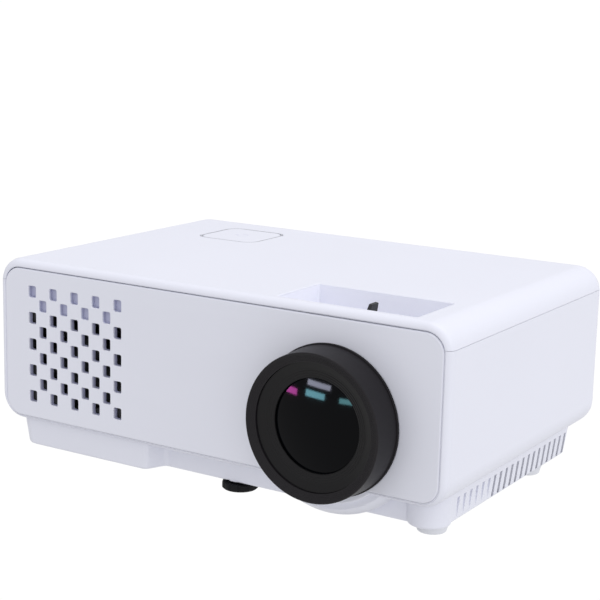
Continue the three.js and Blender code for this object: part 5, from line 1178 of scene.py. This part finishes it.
# %% Steps of a finish
finishes = {}


def finish(name, colour, roughness, metallic=0.0, grain=2600.0, grain_depth=0.000012, drift=0.03, specular=0.5):
    """A surface with a grain of a given fineness and slow drifts in colour and roughness."""
    made = bpy.data.materials.new(name)
    made.use_nodes = True
    tree = made.node_tree
    shader = tree.nodes["Principled BSDF"]
    shader.inputs["Metallic"].default_value = metallic
    shader.inputs["Specular IOR Level"].default_value = specular
    place = tree.nodes.new("ShaderNodeTexCoord")

    fine = tree.nodes.new("ShaderNodeTexNoise")
    fine.inputs["Scale"].default_value = grain
    fine.inputs["Detail"].default_value = 3.0
    bump = tree.nodes.new("ShaderNodeBump")
    bump.inputs["Strength"].default_value = 0.6
    bump.inputs["Distance"].default_value = grain_depth
    tree.links.new(place.outputs["Object"], fine.inputs["Vector"])
    tree.links.new(fine.outputs["Fac"], bump.inputs["Height"])
    tree.links.new(bump.outputs["Normal"], shader.inputs["Normal"])

    slow = tree.nodes.new("ShaderNodeTexNoise")
    slow.inputs["Scale"].default_value = 22.0
    slow.inputs["Detail"].default_value = 5.0
    tree.links.new(place.outputs["Object"], slow.inputs["Vector"])
    rough = tree.nodes.new("ShaderNodeMapRange")
    rough.inputs["To Min"].default_value = roughness * 0.85
    rough.inputs["To Max"].default_value = roughness * 1.15
    tree.links.new(slow.outputs["Fac"], rough.inputs["Value"])
    tree.links.new(rough.outputs["Result"], shader.inputs["Roughness"])

    tint = tree.nodes.new("ShaderNodeMix")
    tint.data_type = "RGBA"
    tint.inputs["A"].default_value = (*[c * (1 - drift) for c in colour], 1.0)
    tint.inputs["B"].default_value = (*[min(c * (1 + drift), 1.0) for c in colour], 1.0)
    tree.links.new(slow.outputs["Fac"], tint.inputs["Factor"])
    tree.links.new(tint.outputs["Result"], shader.inputs["Base Color"])
    finishes[name] = made
    return made


print("finish steps ready")

# %% Mix the finishes
SHELL_COLOUR, SHELL_ROUGHNESS, SHELL_DRIFT = (0.735, 0.742, 0.825), 0.42, 0.010
finish("shell_white", SHELL_COLOUR, SHELL_ROUGHNESS, drift=SHELL_DRIFT)
finish("panel_white", (0.715, 0.722, 0.800), 0.38, drift=SHELL_DRIFT)
finish("trim_grey", (0.46, 0.47, 0.51), 0.35)
finish("foot_grey", (0.70, 0.71, 0.76), 0.6, grain=1800.0)
finish("lever_black", (0.016, 0.016, 0.018), 0.5, specular=0.4)
finish("knob_black", (0.005, 0.005, 0.006), 0.55, specular=0.15)
finish("pad_black", (0.014, 0.014, 0.014), 0.7, grain=1500.0, grain_depth=0.00003)
finish("inner_black", (0.02, 0.02, 0.021), 0.6)
finish("infrared_dark", (0.03, 0.004, 0.008), 0.12)
finish("aluminium", (0.62, 0.63, 0.65), 0.35, metallic=1.0)
finish("port_steel", (0.55, 0.55, 0.56), 0.28, metallic=1.0)
finish("brass", (0.55, 0.40, 0.16), 0.3, metallic=1.0)
finish("mirror_face", (0.85, 0.86, 0.87), 0.05, metallic=1.0, drift=0.01)
finish("lcd_dark", (0.02, 0.022, 0.03), 0.15)

clear_plastic = finish("clear_plastic", (0.86, 0.90, 0.93), 0.06, grain=900.0, grain_depth=0.000004)
clear_plastic.node_tree.nodes["Principled BSDF"].inputs["Transmission Weight"].default_value = 1.0

board_tree = finish("board_green", (0.02, 0.13, 0.05), 0.4).node_tree
tracks = board_tree.nodes.new("ShaderNodeTexBrick")
tracks.inputs["Scale"].default_value = 260.0
TRACK_COLOURS = {"Color1": (0.02, 0.12, 0.045), "Color2": (0.018, 0.10, 0.04), "Mortar": (0.05, 0.24, 0.09)}
for label, colour in TRACK_COLOURS.items():
    tracks.inputs[label].default_value = (*colour, 1.0)
where = board_tree.nodes.new("ShaderNodeTexCoord")
board_tree.links.new(where.outputs["Object"], tracks.inputs["Vector"])
board_tree.links.new(tracks.outputs["Color"], board_tree.nodes["Principled BSDF"].inputs["Base Color"])
print("finishes:", sorted(finishes))

# %% [markdown]
# ## The coated glass
# A lens coating takes away most of the white reflection, and nearly black glass shows only what is very bright.
# A low specular level gives that, and what the glass shows is the studio and its lights, so the reflections come
# from the shape of the dome and travel over it as real ones do.

# %% Mix the lens finishes
COATED, LENS_GRAIN = 0.06, 3200.0
finish("lens_glass", (0.0012, 0.0012, 0.0015), 0.06, grain=LENS_GRAIN, grain_depth=0.000002, specular=COATED)
finish("lens_black", (0.0085, 0.0072, 0.0092), 0.46, grain=LENS_GRAIN, grain_depth=0.000006, specular=0.20)
finish("lens_thread", (0.004, 0.0036, 0.0043), 0.40, grain=LENS_GRAIN, grain_depth=0.000006, specular=0.20)
print("coated glass mirrors", round(8 * COATED, 2), "percent of the light")

# %% [markdown]
# ## Steps for painted light and shade
# Painted light or shade that belongs to a place is arithmetic on where a point lies, so two small steps are written
# once here.

# %% Steps of arithmetic in a material
def reckon(tree, operation, first, second=0.0):
    """One arithmetic step between two values, either of which may be a plain number."""
    step = tree.nodes.new("ShaderNodeMath")
    step.operation = operation
    for socket, value in zip(step.inputs, (first, second)):
        if isinstance(value, (int, float)):
            socket.default_value = value
        else:
            tree.links.new(value, socket)
    return step.outputs["Value"]


def soft_step(tree, value, place, softness, falling=False):
    """A smooth ramp at a place, as wide to either side as its softness."""
    edges = [reckon(tree, "SUBTRACT", place, softness), reckon(tree, "ADD", place, softness)]
    if falling:
        edges.reverse()
    ramp = tree.nodes.new("ShaderNodeMapRange")
    ramp.interpolation_type = "SMOOTHSTEP"
    tree.links.new(edges[0], ramp.inputs["From Min"])
    tree.links.new(edges[1], ramp.inputs["From Max"])
    tree.links.new(value, ramp.inputs["Value"])
    return ramp.outputs["Result"]


print("steps ready")

# %% [markdown]
# ## Painted light and shade that belong to a place
# Three finishes change inside a box of the model. The finger recess gets painted light: a faint light of its own
# stands in for the light its walls throw to each other. The vent's holes and the side slots get painted shade: their
# walls are painted darker where they look into the dark case.

# %% Paint shade into boxes of the model
def box_mask(tree, low, high, softness, mirrored=False):
    """One inside a box given in millimetres and nothing outside it. A side left as None is open."""
    where = tree.nodes.new("ShaderNodeTexCoord").outputs["Object"]
    mask = 1.0
    for direction, start, end in zip(((1, 0, 0), (0, 1, 0), (0, 0, 1)), low, high):
        step = tree.nodes.new("ShaderNodeVectorMath")
        step.operation = "DOT_PRODUCT"
        tree.links.new(where, step.inputs[0])
        step.inputs[1].default_value = Vector(direction) / MM
        distance = step.outputs["Value"]
        if mirrored and direction[0]:
            distance = reckon(tree, "ABSOLUTE", distance)
        if start is not None:
            mask = reckon(tree, "MULTIPLY", mask, soft_step(tree, distance, start, softness))
        if end is not None:
            mask = reckon(tree, "MULTIPLY", mask, soft_step(tree, distance, end, softness, falling=True))
    return mask


def painted_shade_inside(material, mask, colour):
    """Lead a finish's base colour over into a darker colour, a painted shade, where the mask is one."""
    tree = material.node_tree
    target = tree.nodes["Principled BSDF"].inputs["Base Color"]
    blend = tree.nodes.new("ShaderNodeMix")
    blend.data_type = "RGBA"
    tree.links.new(target.links[0].from_socket, blend.inputs["A"])
    blend.inputs["B"].default_value = (*colour, 1.0)
    tree.links.new(mask, blend.inputs["Factor"])
    tree.links.new(blend.outputs["Result"], target)


# Painted shade: inside the vent's dents and holes the panel is painted darker, and darker still deep in the open
# holes.
VENT_PAINTED_SHADE, HOLE_PAINTED_SHADE, SLOT_PAINTED_SHADE = (0.44, 0.45, 0.60), (0.16, 0.17, 0.25), (0.26, 0.26, 0.30)
VENT_RIGHT = VENT_START.x + (VENT_COLUMNS - 1) * VENT_PITCH.x + HOLE_WIDTH
panel_finish = finishes["panel_white"]
vent_shade_mask = box_mask(panel_finish.node_tree, (None, FRONT + 0.75, None), (VENT_RIGHT, FRONT + 3.6, None), 0.35)
painted_shade_inside(panel_finish, vent_shade_mask, VENT_PAINTED_SHADE)
hole_shade_mask = box_mask(panel_finish.node_tree, (None, FRONT + 2.3, None), (VENT_RIGHT, FRONT + 3.6, None), 0.4)
painted_shade_inside(panel_finish, hole_shade_mask, HOLE_PAINTED_SHADE)

# Painted shade: the walls of the base's side slots, and what is seen through them, are painted darker.
case_finish = finish("case_white_painted_shade", SHELL_COLOUR, SHELL_ROUGHNESS, drift=SHELL_DRIFT)
slot_shade_mask = box_mask(
    case_finish.node_tree, (None, base_rear - 14.5 * SLOT_PITCH, BASE_BOTTOM + 0.5),
    (BASE_HALF - BASE_TAPER - 0.6, base_rear - BASE_TAPER - 0.6, BASE_BOTTOM + 9.6), 0.25, mirrored=True)
painted_shade_inside(case_finish, slot_shade_mask, SLOT_PAINTED_SHADE)
print("tinted: panel_white, case_white_painted_shade")

# %% Paint light into the finger recess
# Painted light: a faint emission in the finger recess, stronger on its left wall, stands in for light thrown back by
# the walls.
RECESS_PAINTED_LIGHT, LEFT_WALL_PAINTED_LIGHT, PAINTED_LIGHT_COLOUR = 0.065, 0.06, (0.96, 0.96, 1.0)
tree = finish("cover_white_painted_light", SHELL_COLOUR, SHELL_ROUGHNESS, drift=SHELL_DRIFT).node_tree
recess_low = (RECESS_LEFT - 0.4, RECESS_FRONT, TOP - RECESS_DEPTH - 1.0)
recess_high = (RECESS_LEFT + RECESS_WIDTH + 0.4, RECESS_FRONT + RECESS_LENGTH + 0.4, TOP - 0.5)
recess = box_mask(tree, recess_low, recess_high, 0.4)
left_wall = box_mask(tree, recess_low, (RECESS_LEFT + 0.5, *recess_high[1:]), 0.4)
painted_light_strength = reckon(
    tree, "ADD", reckon(tree, "MULTIPLY", recess, RECESS_PAINTED_LIGHT), reckon(tree, "MULTIPLY", left_wall, LEFT_WALL_PAINTED_LIGHT))
painted_light_emission = tree.nodes.new("ShaderNodeVectorMath")
painted_light_emission.operation = "SCALE"
painted_light_emission.inputs["Vector"].default_value = PAINTED_LIGHT_COLOUR
tree.links.new(painted_light_strength, painted_light_emission.inputs["Scale"])
cover_shader = tree.nodes["Principled BSDF"]
tree.links.new(painted_light_emission.outputs["Vector"], cover_shader.inputs["Emission Color"])
cover_shader.inputs["Emission Strength"].default_value = 1.0
print("lightened: cover_white_painted_light")

# %% [markdown]
# ## Putting pieces in the frame
# A finished piece is shrunk to metres, gets smooth shading with sharp edges kept, and takes over from its CAD
# node. The hidden parts of the node, such as screw posts, are not drawn again, because nothing can show them.

# %% Hand pieces over
SHARP = math.radians(38)
NORMAL_WEIGHT = 90


def handed_over(piece, name, node, slot, surface=None):
    """Shrink a piece to metres, shade it and let it take over from a CAD node. Its finish may differ from its slot."""
    piece.name = name
    piece.data.name = name
    piece.data.transform(Matrix.Scale(MM, 4))
    form = bmesh.new()
    form.from_mesh(piece.data)
    for face in form.faces:
        face.smooth = True
    for edge in form.edges:
        edge.smooth = len(edge.link_faces) == 2 and edge.calc_face_angle(math.pi) < SHARP
    form.to_mesh(piece.data)
    form.free()
    piece.data.materials.clear()
    piece.data.materials.append(finishes[surface or slot])
    weighted = piece.modifiers.new("weighted_normals", "WEIGHTED_NORMAL")
    weighted.weight = NORMAL_WEIGHT
    weighted.keep_sharp = True
    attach(piece, frame["nodes"][node]["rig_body"])
    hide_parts(node)
    return piece


# %% Put the case in the frame
case_bottom = joined("case_bottom_mesh", [shell, base, post, chin, boss])
handed_over(cover_shell, "top_cover_visual", "top_cover", "shell_white", "cover_white_painted_light")
handed_over(case_bottom, "bottom_case_visual", "bottom_case", "shell_white", "case_white_painted_shade")
handed_over(panel, "front_panel_visual", "front_panel", "panel_white")
print("case in place")

# %% Put the lens in the frame
handed_over(focus_ring, "focus_ring_visual", "focus_ring", "lens_black")
handed_over(retaining, "retaining_ring_visual", "retaining_ring", "lens_black", "lens_thread")
front_glass = handed_over(glass, "front_glass_visual", "front_glass", "lens_glass")
print("lens in place")

# %% Put the smaller pieces in the frame
for piece, node, *finish_names in small_pieces:
    handed_over(piece, node + "_visual", node, *finish_names)
handed_over(inlet_pins, "mains_inlet_pins_visual", "mains_inlet", "port_steel")
print("smaller pieces in place:", len(small_pieces) + 1)

# %% [markdown]
# ## The pieces inside
# What stays hidden keeps its CAD shape. Each of these nodes still gets its own finish, because the vent, the side
# slots and the rear grille let some of them be seen.

# %% Finish the CAD nodes that stay
STAYING = {
    "inner_black": (
        "lens_sleeve", "lens_barrel", "lens_spacer", "rear_retainer", "optics_housing", "optics_lid", "lcd_gate",
        "intake_fan_frame", "intake_fan_rotor", "exhaust_fan_frame", "exhaust_fan_rotor", "speaker"),
    "lens_glass": ("middle_glass", "rear_glass"),
    "clear_plastic": ("condenser_lens", "fresnel_rear", "fresnel_front"),
    "lcd_dark": ("lcd_panel",),
    "mirror_face": ("fold_mirror",),
    "board_green": ("key_switch_board", "main_board", "power_board"),
    "aluminium": ("led_board", "led_heatsink"),
}
for slot, nodes_there in STAYING.items():
    for node in nodes_there:
        kept = frame["nodes"][node]
        for place in kept.material_slots:
            place.material = finishes[slot]
print("nodes with a new finish:", sum(len(group) for group in STAYING.values()))

# %% [markdown]
# ## Windows for the lens
# The bright patches in a lens are the studio's soft lights, bent by the dome. Each light here stands where the dome
# mirrors it to the camera at a chosen place of the glass. A collection for light linking keeps it off the case.

# %% Stand the lens lights
WINDOW_DISTANCE = 0.6
only_glass = bpy.data.collections.new("lens_light_receivers")
only_glass.objects.link(front_glass)


def lens_light(name, radius, turn, width, height, power, colour):
    """A light that the dome mirrors to the camera at a radius in millimetres and a turn in degrees."""
    lean = 2 * GLASS_RISE * radius / GLASS_RADIUS ** 2
    across, above = math.cos(math.radians(turn)), math.sin(math.radians(turn))
    facing = Vector((lean * across, -1.0, lean * above)).normalized()
    spot = Vector((LENS_X + radius * across, FRONT, LENS_Z + radius * above)) * MM
    to_camera = (camera.matrix_world.translation - spot).normalized()
    place = spot + (2 * facing.dot(to_camera) * facing - to_camera) * WINDOW_DISTANCE
    lamp = light_panel(name, place, spot, width, height, power, colour)
    lamp.light_linking.receiver_collection = only_glass
    return place


WINDOWS = {
    # name: radius and turn on the glass, width and height in metres, power in watts, colour
    "window_upper": (14.4, 88, 0.17, 0.030, 0.90, (0.75, 0.78, 1.0)),
    "window_blue": (11.0, 93, 0.14, 0.036, 1.10, (0.30, 0.75, 0.90)),
    "window_magenta": (15.2, 134, 0.09, 0.034, 0.60, (0.9, 0.12, 0.65)),
    "window_teal": (15.4, 42, 0.10, 0.030, 0.40, (0.35, 0.9, 1.0)),
}
for name, values in WINDOWS.items():
    print(name, "stands at", [round(v, 2) for v in lens_light(name, *values)])
